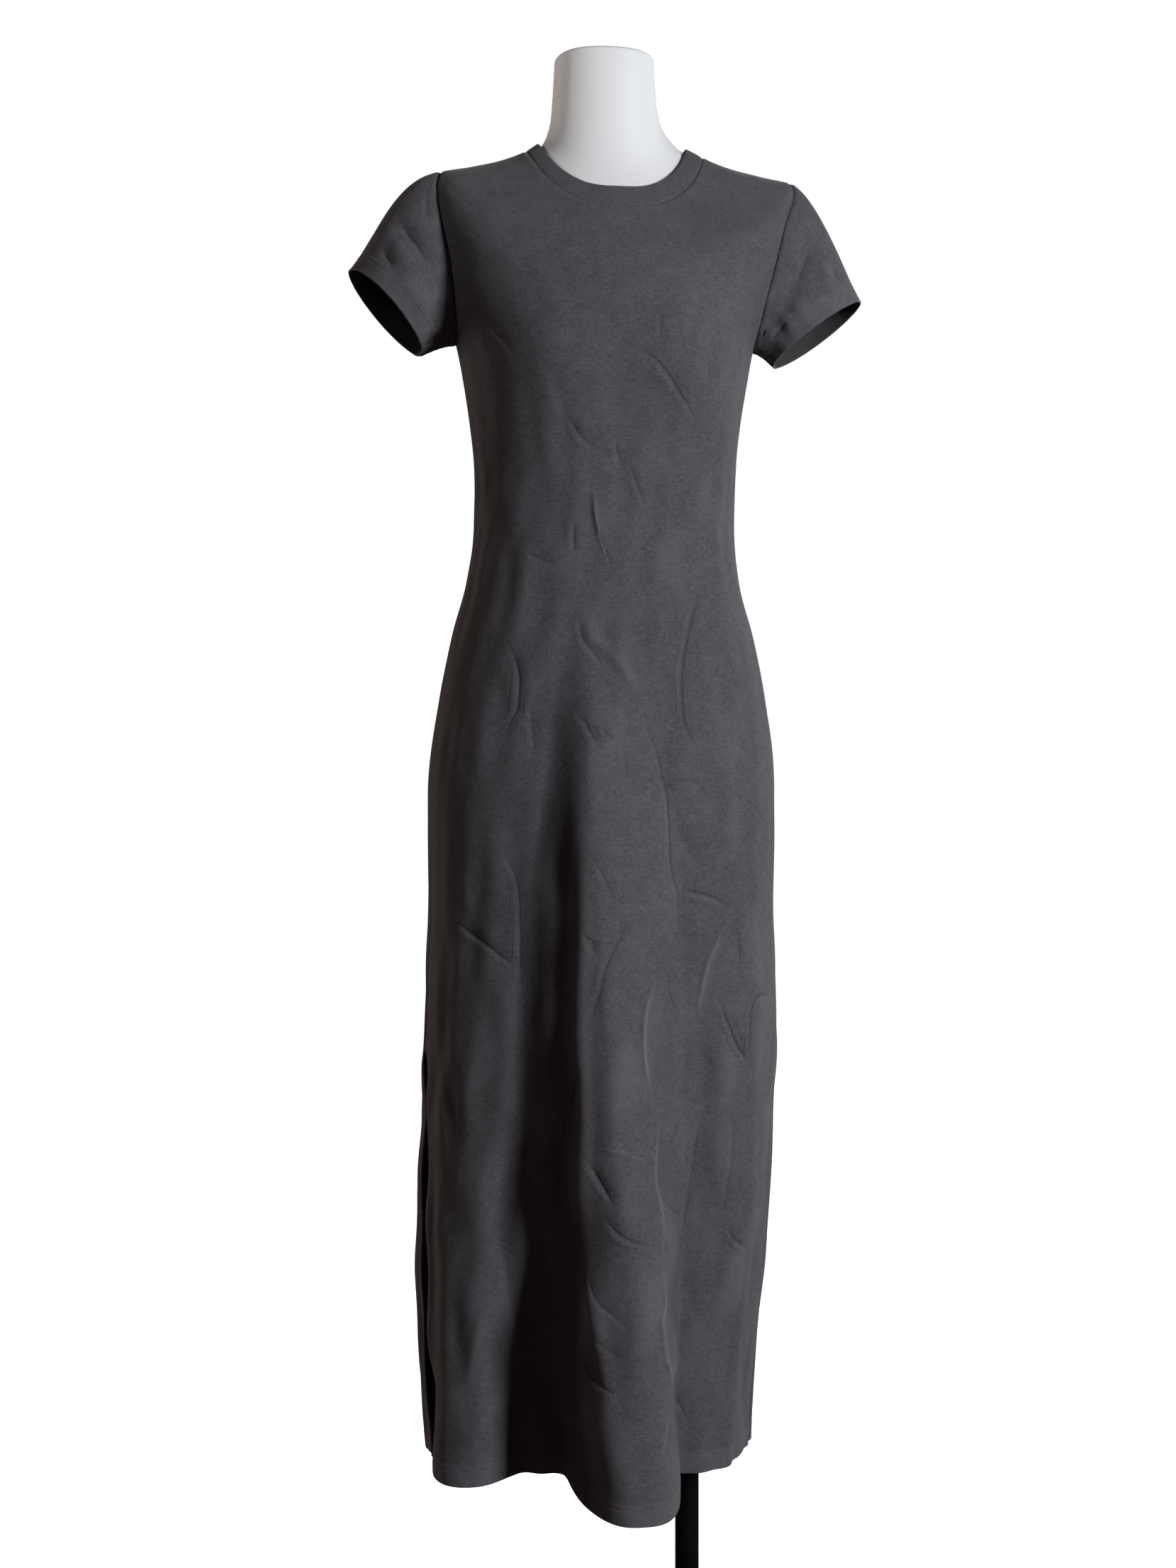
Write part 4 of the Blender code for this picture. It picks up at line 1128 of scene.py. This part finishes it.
# Creases as (degrees round from the armpit by way of the front, share of the way down)
SLEEVE_CREASES = {
    "sleeve_right": (
        ("cap dent", -3.6, 8, 0.3, (
            (148, 0.46), (128, 0.44), (113, 0.41), (99, 0.36), (88, 0.32), (78, 0.28),
        )),
        ("dent line", -1.2, 3, 0.4, ((129, 0.43), (112, 0.4), (98, 0.35), (86, 0.33))),
        ("lit rise", 1.8, 12, 0.1, ((126, 0.52), (114, 0.51), (102, 0.51), (92, 0.52))),
        ("small trough", -1.3, 6, 0.4, ((136, 0.66), (124, 0.69), (111, 0.7), (104, 0.68))),
        ("small line", -1, 2.6, 0.4, ((130, 0.67), (119, 0.7), (108, 0.69))),
        ("armpit drag", -2.6, 8, 0.3, ((84, 0.24), (70, 0.26), (56, 0.38), (43, 0.55))),
        ("cuff ridge", 1.6, 9, 0.2, ((102, 0.7), (83, 0.64), (66, 0.58), (50, 0.56))),
        ("tuck", -1.6, 3, 0.5, ((24, 0.98), (20, 0.78), (23, 0.6), (32, 0.45))),
        ("cap line", -0.8, 3, 0.4, ((142, 0.1), (122, 0.12), (108, 0.17))),
        ("back drag", -1.6, 9, 0.3, ((290, 0.2), (270, 0.35), (250, 0.5))),
        ("back line", -1.1, 3, 0.4, ((284, 0.26), (268, 0.38), (254, 0.46))),
        ("back ridge", 1.2, 9, 0.3, ((310, 0.3), (292, 0.55), (276, 0.75))),
    ),
    "sleeve_left": (
        ("cap dent", -3.8, 10, 0.3, (
            (126, 0.39), (114, 0.39), (100, 0.39), (86, 0.39), (68, 0.36), (54, 0.33),
        )),
        ("dent line", -0.9, 3, 0.4, ((120, 0.4), (107, 0.41), (96, 0.42), (84, 0.42))),
        ("lit rise", 2.4, 8, 0.2, ((121, 0.48), (119, 0.58), (119, 0.69), (118, 0.79))),
        ("crumple a", -1.2, 2.8, 0.5, ((126, 0.63), (128, 0.7), (132, 0.76))),
        ("crumple b", -1, 2.6, 0.5, ((138, 0.69), (137, 0.76))),
        ("armpit drag", -1.8, 12, 0.2, ((76, 0.5), (59, 0.42), (47, 0.36), (34, 0.3))),
        ("armpit line", -1.2, 3, 0.4, ((60, 0.58), (44, 0.54), (29, 0.48))),
        ("cuff rise", 1.5, 8, 0.2, ((88, 0.63), (74, 0.61), (59, 0.6), (44, 0.65))),
        ("back drag", -1.6, 9, 0.3, ((286, 0.25), (268, 0.4), (248, 0.52))),
        ("back line", -1.1, 3, 0.4, ((282, 0.3), (268, 0.42), (252, 0.5))),
        ("back ridge", 1.2, 9, -0.3, ((306, 0.35), (288, 0.6), (270, 0.8))),
    ),
}


def sleeve_point(turn, share, side, outer, under, cap, back_drop):
    """A point of a sleeve's inner side, for degrees round and a share of the way down."""
    turn, share = np.broadcast_arrays(np.radians(turn), np.asarray(share, float))
    angle = (90 - FRONT_ARMHOLE_CUT * np.sin(turn)) * side
    level = ARMPIT_LEVEL + (SHOULDER_LEVEL - ARMPIT_LEVEL) * (1 - np.cos(turn)) / 2
    start, normal = body_point(angle, level), body_normal(angle, level)
    top_share = ((1 - np.cos(turn)) / 2)[..., None]
    front_share = np.sin(turn)[..., None]

    outer, under = np.array([outer[0], 0, outer[1]], float), np.array([under[0], 0, under[1]], float)
    centre, half_length = (outer + under) / 2, (outer - under) / 2
    fall = unit(np.cross((0, side, 0), half_length))
    end = centre - half_length * np.cos(turn)[..., None]
    end = end - np.array([0, SLEEVE_HALF_DEPTH, 0]) * front_share
    end = end - fall * SLEEVE_FRONT_LIFT * np.clip(front_share, 0, 1)
    end = end + fall * back_drop * np.clip(-front_share, 0, 1)

    leave = np.stack([np.full(turn.shape, float(side)), -SLEEVE_SPREAD * np.sin(turn)], axis=-1)
    leave = unit(np.concatenate([leave, np.full((*turn.shape, 1), -SLEEVE_DROP)], axis=-1))
    reach = SLEEVE_UNDER_REACH + (cap - SLEEVE_UNDER_REACH) * top_share
    arrive = fall * (SLEEVE_UNDER_REACH + (SLEEVE_FALL - SLEEVE_UNDER_REACH) * top_share)
    facing = np.clip((leave * normal).sum(-1, keepdims=True), 0, 1)
    start = start + normal * SLEEVE_LIFT * facing
    t = share[..., None]
    place = (2 * t**3 - 3 * t**2 + 1) * start + (3 * t**2 - 2 * t**3) * end
    return place + (t**3 - 2 * t**2 + t) * leave * reach + (t**3 - t**2) * arrive


# %% Make the sleeves
SLEEVE_WAVES = 0.35


def make_sleeve(name, shape):
    """A sleeve with its armhole seam, underarm seam, hem and creases."""
    side = shape["side"]
    turns = np.linspace(0, 360, SLEEVE_COLUMNS, endpoint=False)
    fine = np.linspace(0, 1, 80)
    curves = sleeve_point(turns[None], fine[:, None], **shape)
    lengths = np.linalg.norm(np.diff(curves, axis=0), axis=-1)
    along = np.concatenate([np.zeros((1, len(turns))), np.cumsum(lengths, axis=0)])
    shares = []
    for k in range(len(turns)):
        length = along[-1, k]
        squeeze = min(1, 0.9 * length / (ARMHOLE_STEPS[-1] + HEM_STEPS[-1]))
        top, hem = ARMHOLE_STEPS * squeeze, (length - HEM_STEPS * squeeze)[::-1]
        middle = np.linspace(top[-1], hem[0], SLEEVE_ROWS + 2)[1:-1]
        shares.append(np.interp(np.concatenate([top, middle, hem]), along[:, k], fine))
    shares = np.array(shares).T
    round_turns = np.repeat(turns[None], len(shares), axis=0)

    def place(turn, share):
        return sleeve_point(turn, share, **shape)

    def facing(turn, share):
        after, before = place(turn + 0.5, share), place(turn - 0.5, share)
        below, above = place(turn, share + 0.01), place(turn, share - 0.01)
        return unit(np.cross(after - before, below - above)) * -side

    grid = place(round_turns, shares)
    flat, normals = grid.reshape(-1, 3), facing(round_turns, shares).reshape(-1, 3)
    under_seam = distances(flat, grid[:, 0])
    armhole = distances(flat, np.concatenate([grid[0], grid[0, :1]]))
    hem = distances(flat, np.concatenate([grid[-1], grid[-1, :1]]))
    relief, *lines = crease_relief(flat, SLEEVE_CREASES[name], place, facing)
    mark_seam(lines, np.minimum(armhole, under_seam))
    waves = soft_waves(round_turns * 0.6, shares * 150 + 500).ravel()
    relief += waves * SLEEVE_WAVES + seam_relief(armhole) + seam_relief(under_seam) * 0.6
    relief += hem_relief(hem, HEM_STITCHES, HEM_DEPTH)
    grid = (flat + normals * relief[:, None]).reshape(grid.shape)
    folded_in = (HEM_FOLD * ease_in((HEM_DEPTH - hem) / 1.5)).reshape(grid.shape[:2])
    relief = relief.reshape(grid.shape[:2])
    lines = [values.reshape(relief.shape) for values in lines]
    if side > 0:
        grid, folded_in, relief = grid[::-1], folded_in[::-1], relief[::-1]
        lines = [values[::-1] for values in lines]
    made, outer = finish_cloth(f"dress_{name}", grid, True, relief, folded_in, cloth_look, lines)
    return made, outer if side < 0 else outer[::-1]


sleeves = {name: make_sleeve(name, shape) for name, shape in SLEEVES.items()}

# %% [markdown]
# ## Neckband
#
# The neck is finished with a band of rib, folded double and sewn on slightly stretched, so
# that it stands up round the neck and leans in. Its seam sits a little lower than the
# dress, which puts a fine shadow line all round.

# %% Make the neckband
BAND_COLUMNS = 330
BAND_ROWS = 20
BAND_FOLD = 0.8
BAND_FULLNESS = 0.7

angles = np.linspace(-180, 180, BAND_COLUMNS, endpoint=False)
heights = np.linspace(NECK_SEAM_LEVEL, NECKBAND_TOP_LEVEL, BAND_ROWS + 1)
grid = body_point(angles[None], heights[:, None])
normals = body_normal(angles[None], heights[:, None])
share = np.linspace(0, 1, BAND_ROWS + 1)[:, None]
from_seam = np.linalg.norm(grid - grid[:1], axis=-1)
relief = np.repeat(BAND_FULLNESS * np.sin(share * math.pi) ** 0.7 - 0.2, BAND_COLUMNS, axis=1)
relief = relief - SEAM_DIP * np.exp(-((from_seam / SEAM_DIP_WIDTH) ** 2))
relief = relief + soft_waves(angles[None], heights[:, None]) * 0.6
grid = grid + normals * relief[..., None]
neckband, _ = finish_cloth("dress_neckband", grid, True, relief, np.full(relief.shape, BAND_FOLD), rib_look)

# %% [markdown]
# ## Twin-needle stitches
#
# Hems of jersey are sewn with a twin needle: two rows of short stitches a few millimetres
# apart. Hundreds of equal stitches along a line are a job for Geometry Nodes: the line is
# resampled to the stitch pitch, a small rounded stitch is placed on each point along the
# line's direction, and the instances are made real.

# %% Thread material
def thread():
    """Polyester sewing thread, a shade lighter than the cloth."""
    made, tree, surface = new_material("grey thread")
    solid = add_node(tree, "ShaderNodeTexCoord").outputs["Object"]
    twist = noise(tree, solid, 2500, 2.0)
    colour = mix_colours(tree, twist, (0.1, 0.091, 0.098, 1), (0.16, 0.15, 0.158, 1))
    bump = add_node(tree, "ShaderNodeBump", None, {"Strength": 0.3, "Distance": 0.0001, "Height": twist})
    tree.links.new(colour, surface.inputs["Base Color"])
    tree.links.new(bump.outputs["Normal"], surface.inputs["Normal"])
    surface.inputs["Roughness"].default_value = 0.55
    return made


thread_look = thread()

# %% Stitch tree
STITCH_INPUTS = (
    ("Pitch", 0.0031), ("Length", 0.0026), ("Thickness", 0.0005), ("Unevenness", 0.12),
)
STITCH_SEED = 3


def stitch_tree():
    """Geometry Nodes that sew a row of stitches along every line of a mesh."""
    tree = bpy.data.node_groups.new("stitches", "GeometryNodeTree")
    face = tree.interface
    face.new_socket("Geometry", in_out="INPUT", socket_type="NodeSocketGeometry")
    for name, value in STITCH_INPUTS:
        face.new_socket(name, in_out="INPUT", socket_type="NodeSocketFloat").default_value = value
    face.new_socket("Thread", in_out="INPUT", socket_type="NodeSocketMaterial")
    face.new_socket("Geometry", in_out="OUTPUT", socket_type="NodeSocketGeometry")
    given = tree.nodes.new("NodeGroupInput").outputs
    line = add_node(tree, "GeometryNodeMeshToCurve", None, {"Mesh": given["Geometry"]})
    points = add_node(
        tree, "GeometryNodeResampleCurve", {"mode": "LENGTH"},
        {"Curve": line.outputs[0], "Length": given["Pitch"]},
    )
    tangent = add_node(tree, "GeometryNodeInputTangent")
    turned = add_node(
        tree, "FunctionNodeAlignRotationToVector", {"axis": "X"}, {"Vector": tangent.outputs[0]}
    )
    ball = add_node(tree, "GeometryNodeMeshUVSphere", None, {"Segments": 6, "Rings": 5, "Radius": 0.5})
    size = add_node(
        tree, "ShaderNodeCombineXYZ", None,
        {"X": given["Length"], "Y": given["Thickness"], "Z": given["Thickness"]},
    )
    least = Number(tree, given["Unevenness"])
    spread = add_node(
        tree, "FunctionNodeRandomValue", {"data_type": "FLOAT"},
        {"Min": 1 - least, "Max": 1 + least, "Seed": STITCH_SEED},
    )
    uneven = add_node(
        tree, "ShaderNodeVectorMath", {"operation": "SCALE"},
        {"Vector": size.outputs[0], "Scale": spread.outputs["Value"]},
    )
    placed = add_node(
        tree, "GeometryNodeInstanceOnPoints", None,
        {"Points": points.outputs[0], "Instance": ball.outputs["Mesh"],
         "Rotation": turned.outputs[0], "Scale": uneven.outputs[0]},
    )
    real = add_node(tree, "GeometryNodeRealizeInstances", None, {"Geometry": placed.outputs[0]})
    smooth = add_node(tree, "GeometryNodeSetShadeSmooth", None, {"Geometry": real.outputs[0]})
    coloured = add_node(
        tree, "GeometryNodeSetMaterial", None,
        {"Geometry": smooth.outputs[0], "Material": given["Thread"]},
    )
    add_node(tree, "NodeGroupOutput", None, {"Geometry": coloured.outputs[0]})
    return tree


stitches_tree = stitch_tree()


def sew(name, lines):
    """A piece made of rows of stitches along lines of points in millimetres."""
    points, edges = [], []
    for line in lines:
        first = len(points)
        points.extend((line * MM).tolist())
        edges.extend((first + i, first + i + 1) for i in range(len(line) - 1))
    mesh = bpy.data.meshes.new(name)
    mesh.from_pydata(points, edges, [])
    made = bpy.data.objects.new(name, mesh)
    bpy.context.collection.objects.link(made)
    sewing = made.modifiers.new("sewing", "NODES")
    sewing.node_group = stitches_tree
    for item in stitches_tree.interface.items_tree:
        if item.in_out == "INPUT" and item.name == "Thread":
            sewing[item.identifier] = thread_look
    bpy.context.view_layer.update()
    evaluated = made.evaluated_get(bpy.context.evaluated_depsgraph_get())
    real = bpy.data.meshes.new_from_object(evaluated)
    made.modifiers.clear()
    made.data = real
    print(f"{name}: {len(real.polygons)} faces")
    return made


# %% Sew the hems
def at_distance(steps, wanted):
    """Which of a list of steps is this far from the edge."""
    return int(np.argmin(np.abs(steps - wanted)))


def hem_rows(outer, from_end=False):
    """The two stitch rows of a hem, as lines on the cloth's outer side."""
    rows = [at_distance(HEM_STEPS, place) for place in HEM_STITCHES]
    return [outer[-1 - row if from_end else row] for row in rows]


slit_top_row = int(np.searchsorted(panel_heights, SLIT_TOP_HEIGHT))
slit_column = at_distance(EDGE_STEPS, SLIT_STITCHES[0])
edge_column = at_distance(EDGE_STEPS, SLIT_STITCHES[0])
front_rows = [line[edge_column:-1] for line in hem_rows(front_outer)]
back_rows = [line[1 : -1 - edge_column] for line in hem_rows(back_outer)]
front_rows.append(front_outer[1:slit_top_row, slit_column])
back_rows.append(back_outer[1:slit_top_row, -1 - slit_column])
front_stitches = sew("stitches_front", front_rows)
back_stitches = sew("stitches_back", back_rows)
cuff_stitches = {}
for name, (_, outer) in sleeves.items():
    rows = [np.concatenate([row, row[:1]]) for row in hem_rows(outer, from_end=True)]
    cuff_stitches[name] = sew(f"stitches_{name}", rows)

# %% [markdown]
# ## The dress form
#
# The form is a smooth limbless torso with a short neck, moulded in white plastic. Only its
# neck shows. It is the same surface as the dress, moved in by the ease, and its top is
# closed with a low dome whose edge is rounded as a moulding's is.

# %% Form material and shape
FORM_COLUMNS = 120
FORM_ROW = 9
NECK_ROW = 3.5
NECK_DOME = 5
DOME_STEPS = 9
BOTTOM_STEPS = 5
BOTTOM_ROUND = 4


def form_look():
    """Satin white plastic with a faint unevenness and a little dust."""
    made, tree, surface = new_material("white form")
    solid = add_node(tree, "ShaderNodeTexCoord").outputs["Object"]
    cloud = noise(tree, solid, 14, 3.0, 0.6)
    dust = noise(tree, solid, 900, 2.0, 0.7)
    colour = mix_colours(tree, cloud * 0.6 + dust * 0.2, (0.80, 0.80, 0.81, 1), (0.87, 0.87, 0.875, 1))
    rough = cloud * 0.12 + dust * 0.06 + 0.36
    bump = add_node(
        tree, "ShaderNodeBump", None,
        {"Strength": 0.12, "Distance": 0.0004, "Height": cloud * 0.7 + dust * 0.1},
    )
    tree.links.new(colour, surface.inputs["Base Color"])
    tree.links.new(rough.socket, surface.inputs["Roughness"])
    tree.links.new(bump.outputs["Normal"], surface.inputs["Normal"])
    return made


def form_rows():
    """Rings of the form from its underside to the middle of its top."""
    body = np.arange(FORM_BOTTOM_HEIGHT, SHOULDER_LEVEL, FORM_ROW)
    neck = np.arange(SHOULDER_LEVEL, NECK_TOP_LEVEL, NECK_ROW)
    levels = np.concatenate([body, neck, [NECK_TOP_LEVEL]])[:, None]
    angles = np.linspace(-180, 180, FORM_COLUMNS, endpoint=False)[None]
    ease = (section("ease", levels) + FORM_ROOM * (levels < NECKBAND_TOP_LEVEL))[..., None]
    rings = body_point(angles, levels, False) - body_normal(angles, levels, False) * ease
    rings[0][:, 2] = FORM_BOTTOM_HEIGHT
    rim, middle = rings[-1], rings[-1].mean(axis=0)
    top = []
    for turn in np.linspace(0, math.pi / 2, DOME_STEPS + 1)[1:-1]:
        ring = middle + (rim - middle) * (1 - 0.16 * (1 - math.cos(turn)))
        ring[:, 2] = rim[:, 2] + NECK_DOME * 0.85 * math.sin(turn)
        top.append(ring)
    low = []
    base, centre = rings[0], rings[0].mean(axis=0)
    for turn in np.linspace(math.pi / 2, 0, BOTTOM_STEPS + 1)[:-1]:
        ring = base + unit(centre - base) * BOTTOM_ROUND * math.sin(turn)
        ring[:, 2] = FORM_BOTTOM_HEIGHT + BOTTOM_ROUND * (1 - math.cos(turn))
        low.append(ring)
    keep = rings[:, 0, 2] > FORM_BOTTOM_HEIGHT + BOTTOM_ROUND
    return np.concatenate([np.array(low), rings[keep], np.array(top)])


rings = form_rows()
count, around = rings.shape[:2]
at = np.arange(count * around).reshape(count, around)
faces = [quads(at[i], at[i + 1], True) for i in range(count - 1)]
points = np.concatenate([rings.reshape(-1, 3), rings[-1:].mean(axis=1) + (0, 0, 0.6), rings[:1].mean(axis=1)])
mesh = bpy.data.meshes.new("form")
fans = [(int(a), int(b), count * around) for a, b in zip(at[-1], np.roll(at[-1], -1))]
fans += [(int(b), int(a), count * around + 1) for a, b in zip(at[0], np.roll(at[0], -1))]
mesh.from_pydata((points * MM).tolist(), [], np.concatenate(faces).tolist() + fans)
mesh.update()
mesh.shade_smooth()
mesh.materials.append(form_look())
form = bpy.data.objects.new("form", mesh)
bpy.context.collection.objects.link(form)

# %% [markdown]
# ## The stand
#
# A steel pole rises from a flat round base and enters a socket under the form. All four
# parts are turned shapes, so each is a profile spun about its own axis, with small rounded
# edges, and a satin black powder coat.

# %% Stand material and shapes
BASE_RADIUS = 190
BASE_THICKNESS = 6
POLE_RADIUS = 11.5
POLE_PLACE = (86.5, 20)
SOCKET_RADIUS = 19
SOCKET_HEIGHT = 26
SEAT_GAP = 0.3
EDGE_TURNS = 4
SPIN_STEPS = 96


def stand_look():
    """Black powder coat: a fine orange-peel and a faintly cloudy tone."""
    made, tree, surface = new_material("black powder coat")
    solid = add_node(tree, "ShaderNodeTexCoord").outputs["Object"]
    peel = noise(tree, solid, 1100, 2.0)
    cloud = noise(tree, solid, 20, 3.0)
    colour = mix_colours(tree, cloud, (0.0025, 0.0025, 0.0025, 1), (0.005, 0.005, 0.005, 1))
    bump = add_node(tree, "ShaderNodeBump", None, {"Strength": 0.2, "Distance": 0.0002, "Height": peel})
    rough = cloud * 0.15 + 0.42
    surface.inputs["Specular IOR Level"].default_value = 0.12
    tree.links.new(colour, surface.inputs["Base Color"])
    tree.links.new(rough.socket, surface.inputs["Roughness"])
    tree.links.new(bump.outputs["Normal"], surface.inputs["Normal"])
    return made


steel_look = stand_look()


def rounded_profile(radius, low, high, edge):
    """Outline of a disc or rod from the middle of its underside to the middle of its top."""
    outline = [(0, low)]
    for corner, start in ((low + edge, -math.pi / 2), (high - edge, 0)):
        for step in range(EDGE_TURNS + 1):
            turn = start + math.pi / 2 * step / EDGE_TURNS
            outline.append((radius - edge + edge * math.cos(turn), corner + edge * math.sin(turn)))
    return outline + [(0, high)]


def turned(name, profile, centre):
    """A closed turned shape from a profile of (radius, height) in millimetres."""
    shape = bmesh.new()
    loops = []
    for radius, height in profile:
        count = 1 if radius == 0 else SPIN_STEPS
        loops.append([
            shape.verts.new((
                (centre[0] + radius * math.cos(2 * math.pi * k / SPIN_STEPS)) * MM,
                (centre[1] + radius * math.sin(2 * math.pi * k / SPIN_STEPS)) * MM,
                height * MM,
            ))
            for k in range(count)
        ])
    for low, high in zip(loops, loops[1:]):
        for k in range(SPIN_STEPS):
            after = (k + 1) % SPIN_STEPS
            corners = [low[k % len(low)], low[after % len(low)], high[after % len(high)], high[k % len(high)]]
            shape.faces.new(list(dict.fromkeys(corners)))
    mesh = bpy.data.meshes.new(name)
    shape.to_mesh(mesh)
    shape.free()
    mesh.shade_smooth()
    mesh.set_sharp_from_angle(angle=math.radians(50))
    mesh.materials.append(steel_look)
    made = bpy.data.objects.new(name, mesh)
    bpy.context.collection.objects.link(made)
    return made


socket_low = BASE_THICKNESS + SEAT_GAP
socket_top = FORM_BOTTOM_HEIGHT - SEAT_GAP
pole_low, pole_high = socket_low + SOCKET_HEIGHT + SEAT_GAP, socket_top - SOCKET_HEIGHT - SEAT_GAP
BASE_EDGE, SOCKET_EDGE, POLE_EDGE = 2, 2.5, 0.4
base_shape = rounded_profile(BASE_RADIUS, 0, BASE_THICKNESS, BASE_EDGE)
low_socket_shape = rounded_profile(SOCKET_RADIUS, socket_low, socket_low + SOCKET_HEIGHT, SOCKET_EDGE)
pole_shape = rounded_profile(POLE_RADIUS, pole_low, pole_high, POLE_EDGE)
top_socket_shape = rounded_profile(SOCKET_RADIUS, socket_top - SOCKET_HEIGHT, socket_top, SOCKET_EDGE)
stand = {
    "base_plate": turned("stand_base", base_shape, (0, 0)),
    "base_socket": turned("stand_base_socket", low_socket_shape, POLE_PLACE),
    "pole": turned("stand_pole", pole_shape, POLE_PLACE),
    "form_socket": turned("stand_form_socket", top_socket_shape, POLE_PLACE),
}

# %% [markdown]
# ## Which piece stands for which solid
#
# Every piece rides on the one body, and a piece that stands for a solid hides it. Each
# cloth piece is listed with the size to which it was cut, and its area is printed.

# %% Ride and replace
SLEEVE_CUT = (0.4, 0.16)
# For each solid: the piece that stands for it, its sewing, and its cut width and length
SHEETS = {
    "front": (front, front_stitches, (0.66, 1.25)),
    "back": (back, back_stitches, (0.6, 1.25)),
    "sleeve_right": (sleeves["sleeve_right"][0], cuff_stitches["sleeve_right"], SLEEVE_CUT),
    "sleeve_left": (sleeves["sleeve_left"][0], cuff_stitches["sleeve_left"], SLEEVE_CUT),
    "neckband": (neckband, None, (0.48, 0.024)),
}


def cloth_area(piece):
    """Area of one side of a piece, in square metres."""
    return sum(face.area for face in piece.data.polygons) / 2


def settle(piece, slot, *nodes):
    """Puts a piece on the body and hides the solids that it stands for. The slot is not used."""
    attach(piece, "root")
    if nodes:
        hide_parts(*nodes)


settle(form, "form", "dress_form")
for node, piece in stand.items():
    settle(piece, "stand", node)
for node, (piece, sewing, flat) in SHEETS.items():
    settle(piece, "jersey", node)
    if sewing:
        settle(sewing, "jersey")
    area = cloth_area(piece)
    print(node, "area", round(area, 4))
    min(area, flat[0] * flat[1])

# %% [markdown]
# ## Studio
#
# The photograph has soft light from the viewer's right and a white background. A tall key
# light stands there, with a side light behind it for the right edge. A weak warm light from
# the left behind and a faint warm fill keep the shadows open, a small lamp lights the neck,
# and one at the rear lights the back. The floor is a pale disc that glows white, with a
# painted shadow that dims it round the stand.

# %% Floor, world and lights
FLOOR_RADIUS = 30
SHADE_RADIUS = 0.16
SHADE_FADE = 0.2


def stage_floor():
    """A pale floor that glows white, with a painted shadow that dims it round the stand."""
    shape = bmesh.new()
    bmesh.ops.create_circle(shape, cap_ends=True, segments=128, radius=FLOOR_RADIUS)
    mesh = bpy.data.meshes.new("floor")
    shape.to_mesh(mesh)
    shape.free()
    made, tree, surface = new_material("pale floor")
    place = add_node(tree, "ShaderNodeTexCoord").outputs["Object"]
    far = add_node(tree, "ShaderNodeVectorMath", {"operation": "LENGTH"}, {"Vector": place})
    share = (Number(tree, far.outputs["Value"]) - SHADE_RADIUS) / SHADE_FADE
    share = share.maths("MAXIMUM", 0.0).maths("MINIMUM", 1.0)
    # Painted shadow: the floor's glow is dimmer round the stand, fading out to white
    glow_and_painted_shadow = mix_colours(tree, share, (0.5, 0.5, 0.51, 1), (1, 1, 1, 1))
    tree.links.new(glow_and_painted_shadow, surface.inputs["Emission Color"])
    surface.inputs["Base Color"].default_value = (0.85, 0.85, 0.85, 1)
    surface.inputs["Roughness"].default_value = 0.9
    surface.inputs["Emission Strength"].default_value = 1.0
    mesh.materials.append(made)
    floor = bpy.data.objects.new("floor", mesh)
    bpy.context.collection.objects.link(floor)
    floor.visible_diffuse = False
    floor.visible_glossy = False
    return floor


def add_light(name, azimuth, elevation, distance, size, height, power, colour):
    """An area light aimed at a height. Azimuth 0 is in front, + to the viewer's right."""
    lamp = bpy.data.lights.new(name, "AREA")
    lamp.shape = "RECTANGLE"
    lamp.size, lamp.size_y = size
    lamp.energy = power
    lamp.color = colour
    made = bpy.data.objects.new(name, lamp)
    bpy.context.collection.objects.link(made)
    a, e = math.radians(azimuth), math.radians(elevation)
    back = np.array([math.sin(a) * math.cos(e), -math.cos(a) * math.cos(e), math.sin(e)])
    made.location = back * distance + (0, 0, height)
    made.visible_camera = False
    made.rotation_euler = (math.pi / 2 - e, 0, a)
    return made


stage_floor()
add_light("key", 38, 15, 2.4, (0.4, 0.8), 0.78, 54, (0.94, 0.975, 1.0))
add_light("side", 128, 10, 2.6, (0.4, 1.8), 0.8, 22, (0.94, 0.97, 1.0))
add_light("neck", -70, 4, 1.2, (0.3, 0.3), 1.62, 0.2, (1.0, 0.98, 0.96)).data.spread = math.radians(40)
add_light("kicker", -126, 6, 2.6, (0.5, 1.4), 0.8, 16, (1.0, 0.86, 0.76))
add_light("rear", 172, 30, 3.2, (1.2, 1.6), 1.0, 55, (0.97, 0.98, 1.0))

world = bpy.data.worlds.new("studio")
bpy.context.scene.world = world
world.use_nodes = True
tree = world.node_tree
path = add_node(tree, "ShaderNodeLightPath")
seen = add_node(tree, "ShaderNodeBackground", None, {"Color": (1, 1, 1, 1), "Strength": 1.0})
fill = add_node(tree, "ShaderNodeBackground", None, {"Color": (1.0, 0.74, 0.66, 1), "Strength": 0.052})
mixed = add_node(
    tree, "ShaderNodeMixShader", None,
    {0: path.outputs["Is Camera Ray"], 1: fill.outputs[0], 2: seen.outputs[0]},
)
tree.links.new(mixed.outputs[0], tree.nodes["World Output"].inputs["Surface"])
bpy.context.scene.view_settings.view_transform = "Standard"
